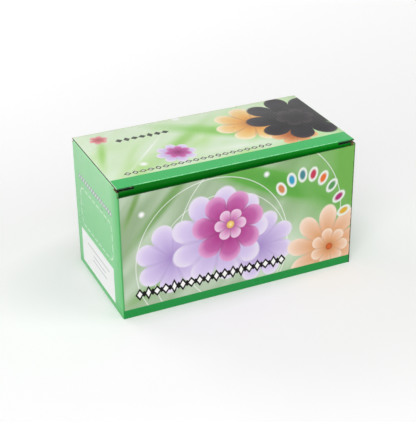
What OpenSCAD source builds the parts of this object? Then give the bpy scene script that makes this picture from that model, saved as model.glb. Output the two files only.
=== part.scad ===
// Hand-worked nail art stamping machine in its tuck-end carton of corrugated board.
// The carton stands on z = 0 with its front panel facing -Y, and the origin is under its middle.
// The machine stands on a folded insert in the carton, and its carriage slides along X.

/* [Carton] */
// Outer width of the carton, left to right
carton_w = 220; // [216:1:250]
// Outer depth of the carton, front to back
carton_d = 112; // [111:1:140]
// Outer height of the closed carton
carton_h = 123; // [121:1:150]
// Thickness of the corrugated board
board_t = 1.5; // [1.2:0.1:1.8]
// Gap left between boards that fold past each other
board_gap = 0.3; // [0.2:0.05:0.4]
// How far the front panel's cut top edge lies below the lid
front_drop = 6.5; // [5:0.5:8]
// Length of the lid's tuck flap, measured from its fold
tuck_len = 19; // [14:1:20]
// Lean of the tuck flap into the carton, in degrees
tuck_lean = 12; // [11:1:14]
// Radius of the tuck flap's two free corners
tuck_corner_r = 9; // [3:1:12]
// Length of the locking slit at each end of the lid's front fold
slit_len = 12; // [8:1:20]
// Height of the locking slits
slit_h = 1.6; // [1:0.1:2.4]
// Length of each dust flap, from its fold
dust_len = 50; // [40:1:54]
// Distance of the dust flaps' front edges behind the carton's front
dust_setback = 8; // [8:0.5:14]
// Angle of the dust flaps' cut back edges to the carton's back, in degrees
dust_mitre = 45; // [42:1:50]
// Width of the glue flap inside the right panel
glue_w = 14; // [10:1:20]
// Length of the bottom tuck flap
bottom_tuck_len = 16; // [12:1:20]
// Length of each dust flap at the bottom
bottom_dust_len = 48; // [30:1:60]

/* [Label] */
// Length of the label on the left panel
label_w = 82; // [60:1:90]
// Height of the label
label_h = 34; // [20:1:40]
// Thickness of the label paper
label_t = 0.1; // [0.08:0.01:0.2]
// Height of the label's lower edge
label_z = 5.5; // [4:0.5:12]
// Distance of the label's middle behind the carton's middle
label_y = 4; // [0:1:8]

/* [Insert] */
// Height of the insert's deck above the bottom flaps
insert_h = 9; // [7:0.5:10]
// Height of the insert's two end cheeks above the bottom flaps
cheek_h = 42; // [30:1:60]
// Width of each end cheek
cheek_w = 8.3; // [7:0.1:12]
// Gap between the insert and the carton or the machine
insert_gap = 0.6; // [0.4:0.1:0.8]
// Gap under the machine's feet
seat_gap = 0.3; // [0.2:0.05:0.5]

/* [Machine base] */
// Distance of the machine's base from the carton's front and back panels
machine_gap = 7; // [6.5:0.1:7.5]
// Corner radius of the base, seen from above
base_corner_r = 12; // [8:1:16]
// Wall thickness of the moulded parts
wall_t = 2.4; // [2:0.1:3]
// Height of the rubber feet
foot_h = 2.5; // [2:0.1:4]
// Radius of the rubber feet
foot_r = 6; // [4:0.5:8]
// Thickness of the bottom cover
cover_t = 2; // [1.8:0.1:2.6]
// Height of the base's lower body
base_h = 20; // [19:0.5:22]
// Height of the raised deck above the lower body
deck_rise = 10; // [9.5:0.5:12]
// Length of the left end block that holds the rods
end_block_w = 10.5; // [8:0.5:11]
// Height of the end blocks above the lower body
block_rise = 11; // [11:0.5:12]
// Length of the raised front grip
grip_w = 44; // [30:1:60]
// Radius of the front grip's two round ends
grip_r = 4.6; // [3:0.1:6]
// How far the front grip stands out
grip_t = 1.4; // [1:0.1:2]
// Radius of the cover screws' shanks
screw_r = 1.4; // [1:0.1:1.6]
// Radius of the screw heads
screw_head_r = 2.8; // [2.2:0.1:3.2]

/* [Rods and carriage] */
// Radius of the two steel guide rods
rod_r = 2.5; // [2:0.1:2.6]
// Height of the rods' centre above the lower body
rod_rise = 6; // [5.8:0.1:6.5]
// Distance of the rods' centre outside the deck
rod_out = 6.4; // [6.2:0.1:6.8]
// Gap between the carriage's legs and the dome's walls
leg_clear = 0.6; // [0.4:0.1:0.8]
// Wall of the bronze bushes
bush_wall = 0.9; // [0.7:0.1:1]
// Length of each bush
bush_len = 8; // [6:1:12]
// Radial clearance of what slides or turns on a shaft
run_clear = 0.05; // [0.03:0.01:0.08]
// Radial clearance of what is fixed in a hole
fix_clear = 0.02; // [0.01:0.01:0.04]
// Length of the left bumpers, which sets the end of the carriage's travel
left_stop = 11.2; // [9.2:0.2:16]
// Length of the right bumpers
right_stop = 3.7; // [3:0.1:4]
// Length of the carriage to the left of the roller
frame_left = 26; // [25:1:27]
// Length of the carriage to the right of the roller
frame_right = 22; // [20:1:24]
// Thickness of the carriage's side plates
side_t = 3; // [2.5:0.1:3.4]
// Thickness of the carriage's top beam
beam_t = 3; // [2:0.5:4]
// Bevel at the top left of the side plates
frame_bevel = 8; // [7:1:12]

/* [Roller] */
// Radius of the rubber stamping roller
roller_r = 14; // [12:0.5:14]
// Distance of the roller's ends inside the pattern plate's edges
roller_inset = 4; // [3:0.5:7]
// Radius of the roller's core
core_r = 10; // [7:0.5:11]
// Radius of the roller's axle
axle_r = 2.5; // [2:0.1:3]
// Gap between the roller and the pattern plate
roll_gap = 0.3; // [0.2:0.05:0.5]
// Radius of the clips on the axle's ends
clip_r = 4.5; // [3.8:0.1:4.8]
// Thickness of the clips
clip_t = 1; // [0.6:0.1:1.2]

/* [Pattern plate] */
// Length of the plate's bed
bed_w = 74; // [70:1:74]
// How far the bed stands over the deck's front and back edges
bed_lip = 1.5; // [0.5:0.1:1.7]
// Thickness of the bed
bed_t = 2; // [1.5:0.1:2.5]
// Length of the steel pattern plate
plate_w = 66; // [60:1:68]
// Distance of the pattern plate from the bed's front and back edges
plate_margin = 13.5; // [13:0.5:15]
// Thickness of the pattern plate
plate_t = 0.6; // [0.4:0.1:0.8]
// Radius of each engraved round pattern
pattern_r = 8; // [5:0.5:9]
// Depth of the engraving
engrave_t = 0.2; // [0.1:0.05:0.3]
// Radius of the latch knob
knob_r = 5; // [4:0.5:6]
// Height of the latch knob
knob_h = 7; // [5:0.5:7]
// Radius of the post that the latch turns on
post_r = 1.5; // [1.2:0.1:2]

/* [Dome] */
// Width of the dome cover
dome_w = 76; // [74:1:78]
// Height of the dome's top above the machine's feet
dome_top = 80; // [79:0.5:81]
// Radius of the dome's rounded edges
dome_r = 22; // [20:0.5:22]
// How much lower the dome is at its left side
dome_slope = 4; // [0:0.5:4]
// Height of the arches at the dome's two ends
arch_z = 42; // [41:1:46]
// Radius of the round button
button_r = 7.5; // [6:0.5:8]
// Travel of the button
button_travel = 2; // [1:0.5:2]
// Radius of the button's stem
button_stem_r = 2.5; // [2:0.1:3]

/* [Handles] */
// Radius of the curved grip bar's arch
arch_r = 11; // [9:0.5:12]
// Radius of the curved grip bar's section
bar_r = 3.2; // [2.5:0.1:3.4]
// Width of the press handle
press_w = 20; // [16:1:22]
// Depth of the press handle
press_d = 40; // [36:1:46]
// Height of the press handle
press_h = 10.6; // [10.2:0.1:12]
// Travel of the press handle and the scraper
press_travel = 2.5; // [1:0.5:2.5]
// Radius of the two press stems
stem_r = 2; // [1.6:0.1:2.2]
// Half of the distance between the two press stems
stem_y = 12; // [10:1:13]
// Thickness of the steel scraper blade
blade_t = 0.8; // [0.5:0.1:1.2]
// How far the scraper blade reaches past the roller's ends
blade_over = 1; // [0:0.5:2]

/* [Finger rest] */
// Half of the finger trough's width
trough_r = 11; // [10:0.5:12]
// Height of the trough's floor above the machine's feet
trough_z = 8; // [7.8:0.1:9]
// Length of the finger rest
rest_w = 42; // [30:1:44]
// Length of the finger springs when the rest is pressed down
spring_min = 4.8; // [4.6:0.1:5.4]
// Travel of the finger rest
rest_travel = 2; // [1:0.5:2]
// Width of the hump over the finger trough
hump_w = 23; // [21:1:24]
// Height of the hump above the end block
hump_h = 24; // [24:0.5:30]
// Radius of the hump across the machine
hump_side_r = 46; // [42:1:50]

/* [Hidden] */
$fn = 96;
hull_fn = 32;
eps = 1;                                            // overshoot of a cut past a face
move_gap = 0.3;                                     // gap between faces that pass each other

// Carton heights and inner size
in_w = carton_w - 2 * board_t;
in_d = carton_d - 2 * board_t;
lid_z = carton_h - board_t;
flap_z = lid_z - board_gap;
side_h = flap_z - board_t - board_gap;
lid_front = -carton_d / 2 + board_t + board_gap;
tuck_top = board_t + board_t * sin(tuck_lean) + board_gap;
dust_back = carton_d / 2 - 2 * board_t;
floor_z = 2 * board_t;
tray_w = in_w - 2 * board_t - 2 * insert_gap;
tray_d = in_d - 2 * board_t - 2 * insert_gap;

// Machine's plan size, and the rods' place beside the dome's walls
machine_w = tray_w - 2 * cheek_w - 2 * insert_gap;
machine_d = in_d - 2 * machine_gap;
dome_d = machine_d - 0.4;
bush_r = rod_r + run_clear + bush_wall;
leg_wall = 0.45;
leg_half = bush_r + leg_wall;
rod_y = dome_d / 2 - wall_t - leg_clear - leg_half;
deck_d = 2 * (rod_y - rod_out);
side_in = rod_y - leg_half;
side_out = side_in + side_t;
bed_d = deck_d + 2 * bed_lip;
plate_d = bed_d - 2 * plate_margin;
roller_len = plate_d - 2 * roller_inset;
blade_w = roller_len + 2 * blade_over;

// Machine heights, measured from the bottom of its feet
machine_z = floor_z + insert_h + seat_gap;
cover_z = foot_h + cover_t;
deck_z = base_h + deck_rise;
block_z = base_h + block_rise;
bed_z = deck_z + bed_t;
plate_z = bed_z + plate_t;
rod_z = base_h + rod_rise;
roller_z = plate_z + roll_gap + roller_r;
beam_gap = 2.2;                                     // gap over the roller
beam_z = roller_z + roller_r + beam_gap;
skirt_gap = 1;                                      // gap under the dome's lower edge
skirt_z = base_h + skirt_gap;
rest_z = trough_z + spring_min + rest_travel;

// Places along the machine
hump_x = machine_w / 2 - hump_w;
hump_gap = 2;                                       // gap between the dome and the hump
carriage_x = hump_x - hump_gap - dome_w / 2;
block_left_x = -machine_w / 2 + end_block_w;
block_right_x = carriage_x + frame_right + move_gap + right_stop;
left_end_x = block_left_x + left_stop + move_gap;   // carriage's left end on the plate
travel = carriage_x - frame_left - left_end_x;
bed_x = carriage_x - travel;
trough_lead = 16;                                   // trough's length to the left of the roller
trough_x = carriage_x - trough_lead;
rest_lead = 3;                                      // gap between trough's end and finger rest
rest_x = trough_x + rest_lead;
scraper_inset = 6;                                  // scraper's distance from the frame's end
scraper_x = -frame_left + scraper_inset;
button_x = 12;
button_drop = 1;                                    // button's centre below the roller's
button_z = roller_z - button_drop;
screw_inset = 4;                                    // dome screws inside the dome's flat sides
dome_screw_x = dome_w / 2 - dome_r - screw_inset;
dome_screw_z = roller_z - roller_r;
latch_inset = 8;                                    // latch's distance from the bed's left end
latch_x = bed_x - bed_w / 2 + latch_inset;
latch_out = 7;                                      // latch's distance in front of the plate
latch_y = -plate_d / 2 - latch_out;

// Press handle heights: the sleeves stand on the dome and the handle slides over them
stem_dome_z = dome_top - dome_slope / 2;
press_drop = 0.6;                                   // handle's overlap with the dome's fall
press_z = stem_dome_z + press_travel - press_drop;
sleeve_rise = 1.6;                                  // sleeves' reach into the handle
sleeve_z = press_z + sleeve_rise;
sleeve_wall = 3;
sleeve_r = stem_r + sleeve_wall;
press_cap = 2.6;                                    // handle's roof over the springs
press_roof = press_z + press_h - press_cap;
stem_cap = 1;                                       // handle's skin over the stems
blade_out = 5;                                      // blade's reach below its holder
blade_z = plate_z + move_gap + press_travel;
holder_z = blade_z + blade_out;
holder_h = 9;
holder_t = 6;
blade_seat = 3;                                     // blade's depth in the holder
stem_seat = 4;                                      // stems' depth in the holder
stem_foot_z = holder_z + holder_h - stem_seat;

// Outline of a rectangle with round corners, from squares and circles
module rounded_rect(w, d, r) {
    square([w - 2 * r, d], center = true);
    square([w, d - 2 * r], center = true);
    for (sx = [-1, 1], sy = [-1, 1])
        translate([sx * (w / 2 - r), sy * (d / 2 - r)]) circle(r);
}

// Box given by its lowest and highest corners
module box(low, high) {
    translate(low) cube(high - low);
}

// Round bar along X, or a round hole along X
module bar_x(x0, x1, y, z, r) {
    translate([x0, y, z]) rotate([0, 90, 0]) cylinder(r = r, h = x1 - x0);
}

// Round bar along Y, or a round hole along Y
module bar_y(x, y0, y1, z, r) {
    translate([x, y1, z]) rotate([90, 0, 0]) cylinder(r = r, h = y1 - y0);
}

// Places of the machine on the insert, and of the carriage on the machine
module on_machine() {
    translate([0, 0, machine_z]) children();
}

module on_carriage() {
    translate([carriage_x, 0, machine_z]) children();
}

// ---- Carton ----

module front_panel() {
    color("#b7d3ad")
    box([-carton_w / 2, -carton_d / 2, 0], [carton_w / 2, -in_d / 2, carton_h - front_drop]);
}

module back_panel() {
    color("#8fc98a")
    box([-carton_w / 2, in_d / 2, 0], [carton_w / 2, carton_d / 2, lid_z - board_gap]);
}

module side_panel(side) {
    translate([side * (carton_w - board_t) / 2, 0, side_h / 2])
        cube([board_t, in_d, side_h], center = true);
}

module left_panel() {
    color("#8fd09a") side_panel(-1);
}

module right_panel() {
    color("#7dbb66") side_panel(1);
}

module glue_flap() {
    color("#a5805a")
    box([in_w / 2 - board_t, -in_d / 2, floor_z], [in_w / 2, -in_d / 2 + glue_w, side_h - 4]);
}

module bottom_panel() {
    color("#2f9a48") box([-in_w / 2, -in_d / 2, 0], [in_w / 2, in_d / 2, board_t]);
}

module bottom_tuck_flap() {
    color("#a5805a")
    box([-in_w / 2 + 3, in_d / 2 - board_t, board_t],
        [in_w / 2 - 3, in_d / 2, board_t + bottom_tuck_len]);
}

module bottom_dust_flap(side) {
    x_mid = side * (in_w - bottom_dust_len) / 2;
    translate([x_mid, -board_t / 2, 1.5 * board_t])
        cube([bottom_dust_len, in_d - board_t - 1, board_t], center = true);
}

module bottom_dust_flap_left() {
    color("#a5805a") bottom_dust_flap(-1);
}

module bottom_dust_flap_right() {
    color("#a5805a") bottom_dust_flap(1);
}

module side_label() {
    color("#eef0ec")
    box([-carton_w / 2 - label_t, label_y - label_w / 2, label_z],
        [-carton_w / 2, label_y + label_w / 2, label_z + label_h]);
}

// Deck and two cheeks folded from board, open underneath
module insert_tray() {
    cheek_x = tray_w / 2 - cheek_w;
    color("#b08a60")
    difference() {
        union() {
            translate([-tray_w / 2, -tray_d / 2, floor_z]) cube([tray_w, tray_d, insert_h]);
            for (side = [-1, 1])
                translate([side * (tray_w / 2 + cheek_x) / 2, 0, floor_z + cheek_h / 2])
                    cube([tray_w / 2 - cheek_x, tray_d, cheek_h], center = true);
        }
        translate([0, 0, floor_z + (insert_h - board_t) / 2 - eps / 2])
            cube([2 * cheek_x - 2 * board_t, tray_d - 2 * board_t, insert_h - board_t + eps],
                 center = true);
        for (side = [-1, 1])
            translate([side * (tray_w / 2 + cheek_x) / 2, 0,
                       floor_z + (cheek_h - board_t) / 2 - eps / 2])
                cube([tray_w / 2 - cheek_x - 2 * board_t, tray_d - 2 * board_t,
                      cheek_h - board_t + eps], center = true);
    }
}

module lid_panel() {
    color("#a3cf97")
    box([-carton_w / 2 + board_gap, lid_front, lid_z],
        [carton_w / 2 - board_gap, carton_d / 2, carton_h]);
}

// Flap that folds down from the lid's front edge, with a slit cut in at each end
module tuck_flap() {
    half = in_w / 2 - board_t - 2 * board_gap;
    color("#006b10")
    translate([0, lid_front, carton_h]) rotate([tuck_lean, 0, 0])
        translate([0, board_t, 0]) rotate([90, 0, 0]) linear_extrude(board_t)
            difference() {
                intersection() {
                    translate([0, -tuck_len + half]) rounded_rect(2 * half, 2 * half, tuck_corner_r);
                    translate([-half, -tuck_len]) square([2 * half, tuck_len - tuck_top]);
                }
                for (side = [-1, 1])
                    translate([side * (half - slit_len / 2 + eps / 2), -tuck_top - slit_h / 2])
                        square([slit_len + eps, slit_h + eps / 10], center = true);
            }
}

module dust_flap() {
    front = -carton_d / 2 + dust_setback;
    back_end = dust_back - dust_len * tan(dust_mitre);
    translate([0, 0, flap_z - board_t]) linear_extrude(board_t)
        polygon([[0, front], [dust_len - 5, front], [dust_len, front + 5],
                 [dust_len, back_end], [0, dust_back]]);
}

module dust_flap_left() {
    color("#8fd09a") translate([-carton_w / 2, 0, 0]) dust_flap();
}

module dust_flap_right() {
    color("#7dbb66") translate([carton_w / 2, 0, 0]) mirror([1, 0, 0]) dust_flap();
}

// ---- Machine base ----

screw_in_x = 26;
screw_in_y = 12;
foot_in_x = 14;
foot_in_y = 15;
boss_wall = 2.6;
screw_bite = 7;
head_t = 1;
head_gap = 0.2;
screw_spots = [for (sx = [-1, 1], sy = [-1, 1])
               [sx * (machine_w / 2 - screw_in_x), sy * (machine_d / 2 - screw_in_y)]];
foot_spots = [for (sx = [-1, 1], sy = [-1, 1])
              [sx * (machine_w / 2 - foot_in_x), sy * (machine_d / 2 - foot_in_y)]];
boss_r = screw_r + boss_wall;
rod_in_left = 3.4;
rod_in_right = 8.4;
rod_play = 0.4;                                     // play of the rods along their holes
rib_over = 4;                                       // right end block's reach past the deck

// Everything of the base shell above the lower body, before it is hollowed
module base_top(inset) {
    box([block_left_x - eps, -deck_d / 2 + inset, cover_z], [hump_x, deck_d / 2 - inset, deck_z - inset]);
}

module base_blocks() {
    intersection() {
        translate([0, 0, foot_h]) linear_extrude(block_z - foot_h)
            rounded_rect(machine_w, machine_d, base_corner_r);
        union() {
            for (sy = [-1, 1]) {
                translate([-machine_w / 2, sy * rod_y - leg_half, foot_h])
                    cube([end_block_w, 2 * leg_half, block_z]);
                translate([block_right_x, sy * rod_y - leg_half, foot_h])
                    cube([machine_w, 2 * leg_half, block_z]);
            }
            box([-machine_w / 2, -deck_d / 2, foot_h], [block_left_x, deck_d / 2, block_z]);
            box([hump_x, -deck_d / 2 - rib_over, foot_h],
                [machine_w / 2, deck_d / 2 + rib_over, block_z]);
        }
    }
}

module base_shell() {
    floor_low = trough_z - wall_t;
    color("#c9a6e0")
    on_machine()
    difference() {
        union() {
            difference() {
                union() {
                    translate([0, 0, foot_h]) linear_extrude(base_h - foot_h)
                        rounded_rect(machine_w, machine_d, base_corner_r);
                    base_top(0);
                    base_blocks();
                }
                translate([0, 0, foot_h - eps]) linear_extrude(base_h - wall_t - foot_h + eps)
                    rounded_rect(machine_w - 2 * wall_t, machine_d - 2 * wall_t, base_corner_r - wall_t);
                base_top(wall_t);
            }
            box([trough_x - wall_t, -trough_r - wall_t, floor_low],
                [machine_w / 2 - wall_t / 2, trough_r + wall_t, deck_z - wall_t / 2]);
            for (spot = screw_spots)
                translate([spot[0], spot[1], cover_z])
                    cylinder(r = boss_r, h = base_h - wall_t / 2 - cover_z);
        }
        box([trough_x, -trough_r, trough_z], [machine_w / 2 + eps, trough_r, block_z + eps]);
        for (sy = [-1, 1])
            bar_x(-machine_w / 2 + rod_in_left - rod_play, machine_w / 2 - rod_in_right + rod_play,
                  sy * rod_y, rod_z, rod_r + fix_clear);
        for (spot = screw_spots)
            translate([spot[0], spot[1], cover_z - eps])
                cylinder(r = screw_r + fix_clear, h = screw_bite + 2 * eps);
        for (x = pin_spots)
            translate([x, 0, floor_low - eps])
                cylinder(r = pin_r + run_clear, h = wall_t + 2 * eps);
    }
}

cover_gap = 0.2;

module base_cover() {
    color("#b494cc")
    on_machine()
    difference() {
        translate([0, 0, foot_h]) linear_extrude(cover_t)
            rounded_rect(machine_w - 2 * (wall_t + cover_gap), machine_d - 2 * (wall_t + cover_gap),
                         base_corner_r - wall_t - cover_gap);
        for (spot = screw_spots)
            translate([spot[0], spot[1], foot_h - eps]) {
                cylinder(r = screw_r + cover_gap, h = cover_t + 2 * eps);
                cylinder(r = screw_head_r + cover_gap, h = eps + head_t + head_gap);
            }
    }
}

module rubber_feet() {
    color("#3b3b40")
    on_machine()
    for (spot = foot_spots)
        translate([spot[0], spot[1], 0]) cylinder(r = foot_r, h = foot_h);
}

module cover_screws() {
    color("#b8bcc0")
    on_machine()
    for (spot = screw_spots)
        translate([spot[0], spot[1], foot_h + head_gap]) {
            cylinder(r = screw_r, h = cover_t + screw_bite);
            cylinder(r = screw_head_r, h = head_t);
        }
}

// Bow-tie shaped grip on the front of the base
module front_grip() {
    grip_z = (foot_h + base_h) / 2;
    front_y = -machine_d / 2;
    color("#b08ccc")
    on_machine()
    translate([bed_x, 0, grip_z]) {
        for (side = [-1, 1])
            bar_y(side * (grip_w / 2 - grip_r), front_y - grip_t, front_y, 0, grip_r);
        box([-grip_w / 2 + grip_r, front_y - grip_t, -grip_r / 2],
            [grip_w / 2 - grip_r, front_y, grip_r / 2]);
    }
}

// Rounded hump over the finger trough, from two crossed round sections
module hump_form(inset, low) {
    intersection() {
        translate([0, 0, low]) linear_extrude(hump_h + 2)
            rounded_rect(machine_w - 2 * inset, machine_d - 2 * inset, base_corner_r - inset);
        translate([hump_x + inset, -machine_d / 2, low]) cube([machine_w, machine_d, hump_h + 2]);
        bar_y(hump_x, -machine_d / 2, machine_d / 2, block_z, hump_h - inset);
        bar_x(hump_x, machine_w / 2, 0, block_z + hump_h - hump_side_r, hump_side_r - inset);
    }
}

module hump_shell() {
    color("#c9a6e0")
    on_machine()
    difference() {
        hump_form(0, block_z);
        hump_form(wall_t, block_z - eps);
        bar_x(hump_x - eps, machine_w / 2 + eps, 0, block_z - 2, trough_r);
    }
}

// ---- Pattern plate ----

post_h = knob_h - 1;
post_play = 0.9;                                    // gap over the post's end

module plate_bed() {
    color("#e6d8f0")
    on_machine() {
        translate([bed_x, 0, deck_z]) linear_extrude(bed_t) rounded_rect(bed_w, bed_d, 4);
        translate([latch_x, latch_y, bed_z]) {
            cylinder(r = post_r + post_wall, h = plate_t);
            cylinder(r = post_r, h = post_h);
        }
    }
}

// Steel plate with six engraved rosettes: a ring round a ring of dots
module pattern_plate() {
    color("#c9cdd2")
    on_machine()
    difference() {
        translate([bed_x, 0, bed_z]) linear_extrude(plate_t) rounded_rect(plate_w, plate_d, 2);
        for (ix = [-1, 0, 1], iy = [-1, 1])
            translate([bed_x + ix * plate_w * 0.31, iy * plate_d * 0.24, plate_z - engrave_t]) {
                difference() {
                    cylinder(r = pattern_r, h = 1);
                    cylinder(r = pattern_r - 0.8, h = 1);
                }
                for (turn = [0 : 60 : 300])
                    rotate(turn) translate([pattern_r * 0.5, 0, 0])
                        cylinder(r = pattern_r * (0.16 + 0.04 * ix), h = 1, $fn = 24);
            }
    }
}

rail_w = 5;
rail_h = 1.6;
lip_over = 1.2;                                     // lip's reach over the plate
lip_gap = 0.2;

// Lipped rail that holds the far edge of the pattern plate
module plate_rail() {
    color("#b690d2")
    on_machine() {
        box([bed_x - plate_w / 2, plate_d / 2 + move_gap, bed_z],
            [bed_x + plate_w / 2, plate_d / 2 + rail_w, plate_z + rail_h]);
        box([bed_x - plate_w / 2, plate_d / 2 - lip_over, plate_z + lip_gap],
            [bed_x + plate_w / 2, plate_d / 2 + rail_w / 2, plate_z + rail_h]);
    }
}

tongue_len = latch_out + 4;
tongue_t = 1.8;
rib_w = 1.6;
rib_h = 0.8;
post_wall = 1.5;

// Knob with a tongue that reaches over the near edge of the pattern plate
module latch_knob() {
    color("#b690d2")
    on_machine()
    translate([latch_x, latch_y, plate_z + move_gap])
    difference() {
        union() {
            cylinder(r = knob_r, h = knob_h);
            translate([-knob_r / 2, 0, 0]) cube([knob_r, tongue_len, tongue_t]);
            translate([0, tongue_len, 0]) cylinder(r = knob_r / 2, h = tongue_t);
            translate([-rib_w / 2, -knob_r, knob_h]) cube([rib_w, 2 * knob_r, rib_h]);
        }
        translate([0, 0, -eps])
            cylinder(r = post_r + run_clear, h = post_h - plate_t - move_gap + post_play + eps);
    }
}

// ---- Guide rods and finger rest ----

module guide_rods() {
    color("#c4c8cc")
    on_machine()
    for (sy = [-1, 1])
        bar_x(-machine_w / 2 + rod_in_left, machine_w / 2 - rod_in_right, sy * rod_y, rod_z, rod_r);
}

bumper_wall = 1.6;

// Rubber rings on the rods that stop the carriage at both ends
module end_bumpers() {
    color("#3b3b40")
    on_machine()
    for (sy = [-1, 1])
        difference() {
            union() {
                bar_x(block_left_x, block_left_x + left_stop, sy * rod_y, rod_z,
                      rod_r + bumper_wall);
                bar_x(block_right_x - right_stop, block_right_x, sy * rod_y, rod_z,
                      rod_r + bumper_wall);
            }
            bar_x(block_left_x - eps, block_right_x + eps, sy * rod_y, rod_z, rod_r + fix_clear);
        }
}

pin_r = 2;
pin_in = 9;
pin_out = 0.8;                                      // pins' reach below the trough's floor
pin_spots = [rest_x + pin_in, rest_x + rest_w - pin_in];
rest_gap = 0.4;
rest_t = 1.7;
pad_in = 1;
pad_t = 3.2;

module finger_platform() {
    color("#e6d8f0")
    on_machine() {
        box([rest_x, -trough_r + rest_gap, rest_z],
            [rest_x + rest_w, trough_r - rest_gap, rest_z + rest_t]);
        for (x = pin_spots)
            translate([x, 0, trough_z - pin_out])
                cylinder(r = pin_r, h = rest_z - trough_z + pin_out + rest_t / 2);
    }
}

// Soft pad with a round hollow for the fingertip
module finger_pad() {
    pad_z = rest_z + rest_t;
    color("#e86aa8")
    on_machine()
    difference() {
        box([rest_x + pad_in, -trough_r + pad_in, pad_z],
            [rest_x + rest_w - pad_in, trough_r - pad_in, pad_z + pad_t]);
        bar_x(rest_x, rest_x + rest_w, 0, pad_z + pad_t / 3 + trough_r * 1.5, trough_r * 1.5);
    }
}

module spring_tube(r_in, r_out, h) {
    difference() {
        cylinder(r = r_out, h = h);
        translate([0, 0, -eps]) cylinder(r = r_in, h = h + 2 * eps);
    }
}

coil_t = 0.9;

module finger_springs() {
    color("#9aa0a6")
    on_machine()
    for (x = pin_spots)
        translate([x, 0, trough_z])
            spring_tube(pin_r + rest_gap, pin_r + rest_gap + coil_t, rest_z - trough_z);
}

// ---- Carriage ----

pillar_r = 3.5;                                     // posts that the dome is screwed to
bush_in = 1;                                        // bushes' distance from the frame's ends
arch_in = 9;                                        // arches' distance from the dome's walls

// Side plate with its leg, seen along Y: x along the machine, y up
module side_outline() {
    polygon([[-frame_left, rod_z - leg_half], [frame_right, rod_z - leg_half],
             [frame_right, beam_z + beam_t], [-frame_left + frame_bevel, beam_z + beam_t],
             [-frame_left, beam_z + beam_t - frame_bevel]]);
}

module carriage_frame() {
    color("#8d9298")
    on_carriage()
    difference() {
        union() {
            for (sy = [-1, 1]) {
                translate([0, sy * (side_in + side_t / 2) + side_t / 2, 0])
                    rotate([90, 0, 0]) linear_extrude(side_t) side_outline();
                translate([-frame_left, sy * rod_y - leg_half, rod_z - leg_half])
                    cube([frame_left + frame_right, 2 * leg_half, 2 * leg_half]);
                for (sx = [-1, 1])
                    bar_y(sx * dome_screw_x, min(sy * side_in, sy * (dome_d / 2 - wall_t)),
                          max(sy * side_in, sy * (dome_d / 2 - wall_t)), dome_screw_z, pillar_r);
            }
            box([-frame_left + frame_bevel / 2, -side_in - eps / 2, beam_z],
                [frame_right, side_in + eps / 2, beam_z + beam_t]);
        }
        for (sy = [-1, 1]) {
            bar_x(-frame_left - eps, frame_right + eps, sy * rod_y, rod_z, bush_r + fix_clear);
            translate([scraper_x, sy * stem_y, beam_z - eps])
                cylinder(r = stem_r + run_clear, h = beam_t + 2 * eps);
            for (sx = [-1, 1])
                bar_y(sx * dome_screw_x, -dome_d / 2, dome_d / 2, dome_screw_z, screw_r + fix_clear);
        }
        bar_y(0, -side_out - eps, side_out + eps, roller_z, axle_r + run_clear);
        bar_y(button_x, -side_out - eps, -side_in + eps, button_z, button_stem_r + run_clear);
    }
}

module rod_bushes() {
    color("#b8904a")
    on_carriage()
    for (sy = [-1, 1], x = [-frame_left + bush_in, frame_right - bush_in - bush_len])
        difference() {
            bar_x(x, x + bush_len, sy * rod_y, rod_z, bush_r);
            bar_x(x - eps, x + bush_len + eps, sy * rod_y, rod_z, rod_r + run_clear);
        }
}

// Dome blended from four balls and the outline of its lower edge
module dome_form(inset, low) {
    hull() {
        for (sx = [-1, 1], sy = [-1, 1])
            translate([sx * (dome_w / 2 - dome_r), sy * (dome_d / 2 - dome_r),
                       dome_top - dome_r - (sx < 0 ? dome_slope : 0)])
                sphere(r = dome_r - inset, $fn = hull_fn);
        translate([0, 0, low]) linear_extrude(1)
            rounded_rect(dome_w - 2 * inset, dome_d - 2 * inset, dome_r - inset, $fn = hull_fn);
    }
}

sleeve_root = 6;                                    // sleeves' length inside the dome

module dome_cover() {
    color("#d8308a")
    on_carriage()
    difference() {
        union() {
            difference() {
                dome_form(0, skirt_z);
                dome_form(wall_t, skirt_z - eps);
            }
            for (sy = [-1, 1])
                translate([scraper_x, sy * stem_y, stem_dome_z - sleeve_root])
                    cylinder(r = sleeve_r, h = sleeve_z - stem_dome_z + sleeve_root);
        }
        translate([-dome_w, -dome_d / 2 + arch_in, skirt_z - eps])
            cube([2 * dome_w, dome_d - 2 * arch_in, arch_z - skirt_z + eps]);
        translate([-dome_w, -dome_d / 2 + wall_t, skirt_z - eps])
            cube([2 * dome_w, dome_d - 2 * wall_t, block_z + skirt_gap - skirt_z + eps]);
        for (sy = [-1, 1]) {
            translate([scraper_x, sy * stem_y, beam_z])
                cylinder(r = stem_r + run_clear, h = dome_top);
            for (sx = [-1, 1])
                bar_y(sx * dome_screw_x, -dome_d / 2 - eps, dome_d / 2 + eps,
                      dome_screw_z, screw_r + fix_clear);
        }
        bar_y(button_x, -dome_d / 2 - eps, -dome_d / 2 + 3 * wall_t, button_z, button_r + move_gap);
    }
}

module dome_screws() {
    color("#b8bcc0")
    on_carriage()
    for (sx = [-1, 1]) {
        for (sy = [-1, 1])
            bar_y(sx * dome_screw_x, min(sy * side_out, sy * dome_d / 2),
                  max(sy * side_out, sy * dome_d / 2), dome_screw_z, screw_r);
        bar_y(sx * dome_screw_x, -dome_d / 2 - head_t, -dome_d / 2, dome_screw_z, screw_head_r);
        bar_y(sx * dome_screw_x, dome_d / 2, dome_d / 2 + head_t, dome_screw_z, screw_head_r);
    }
}

bar_inset = 2;                                      // bar's distance inside the dome's flat top

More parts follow.
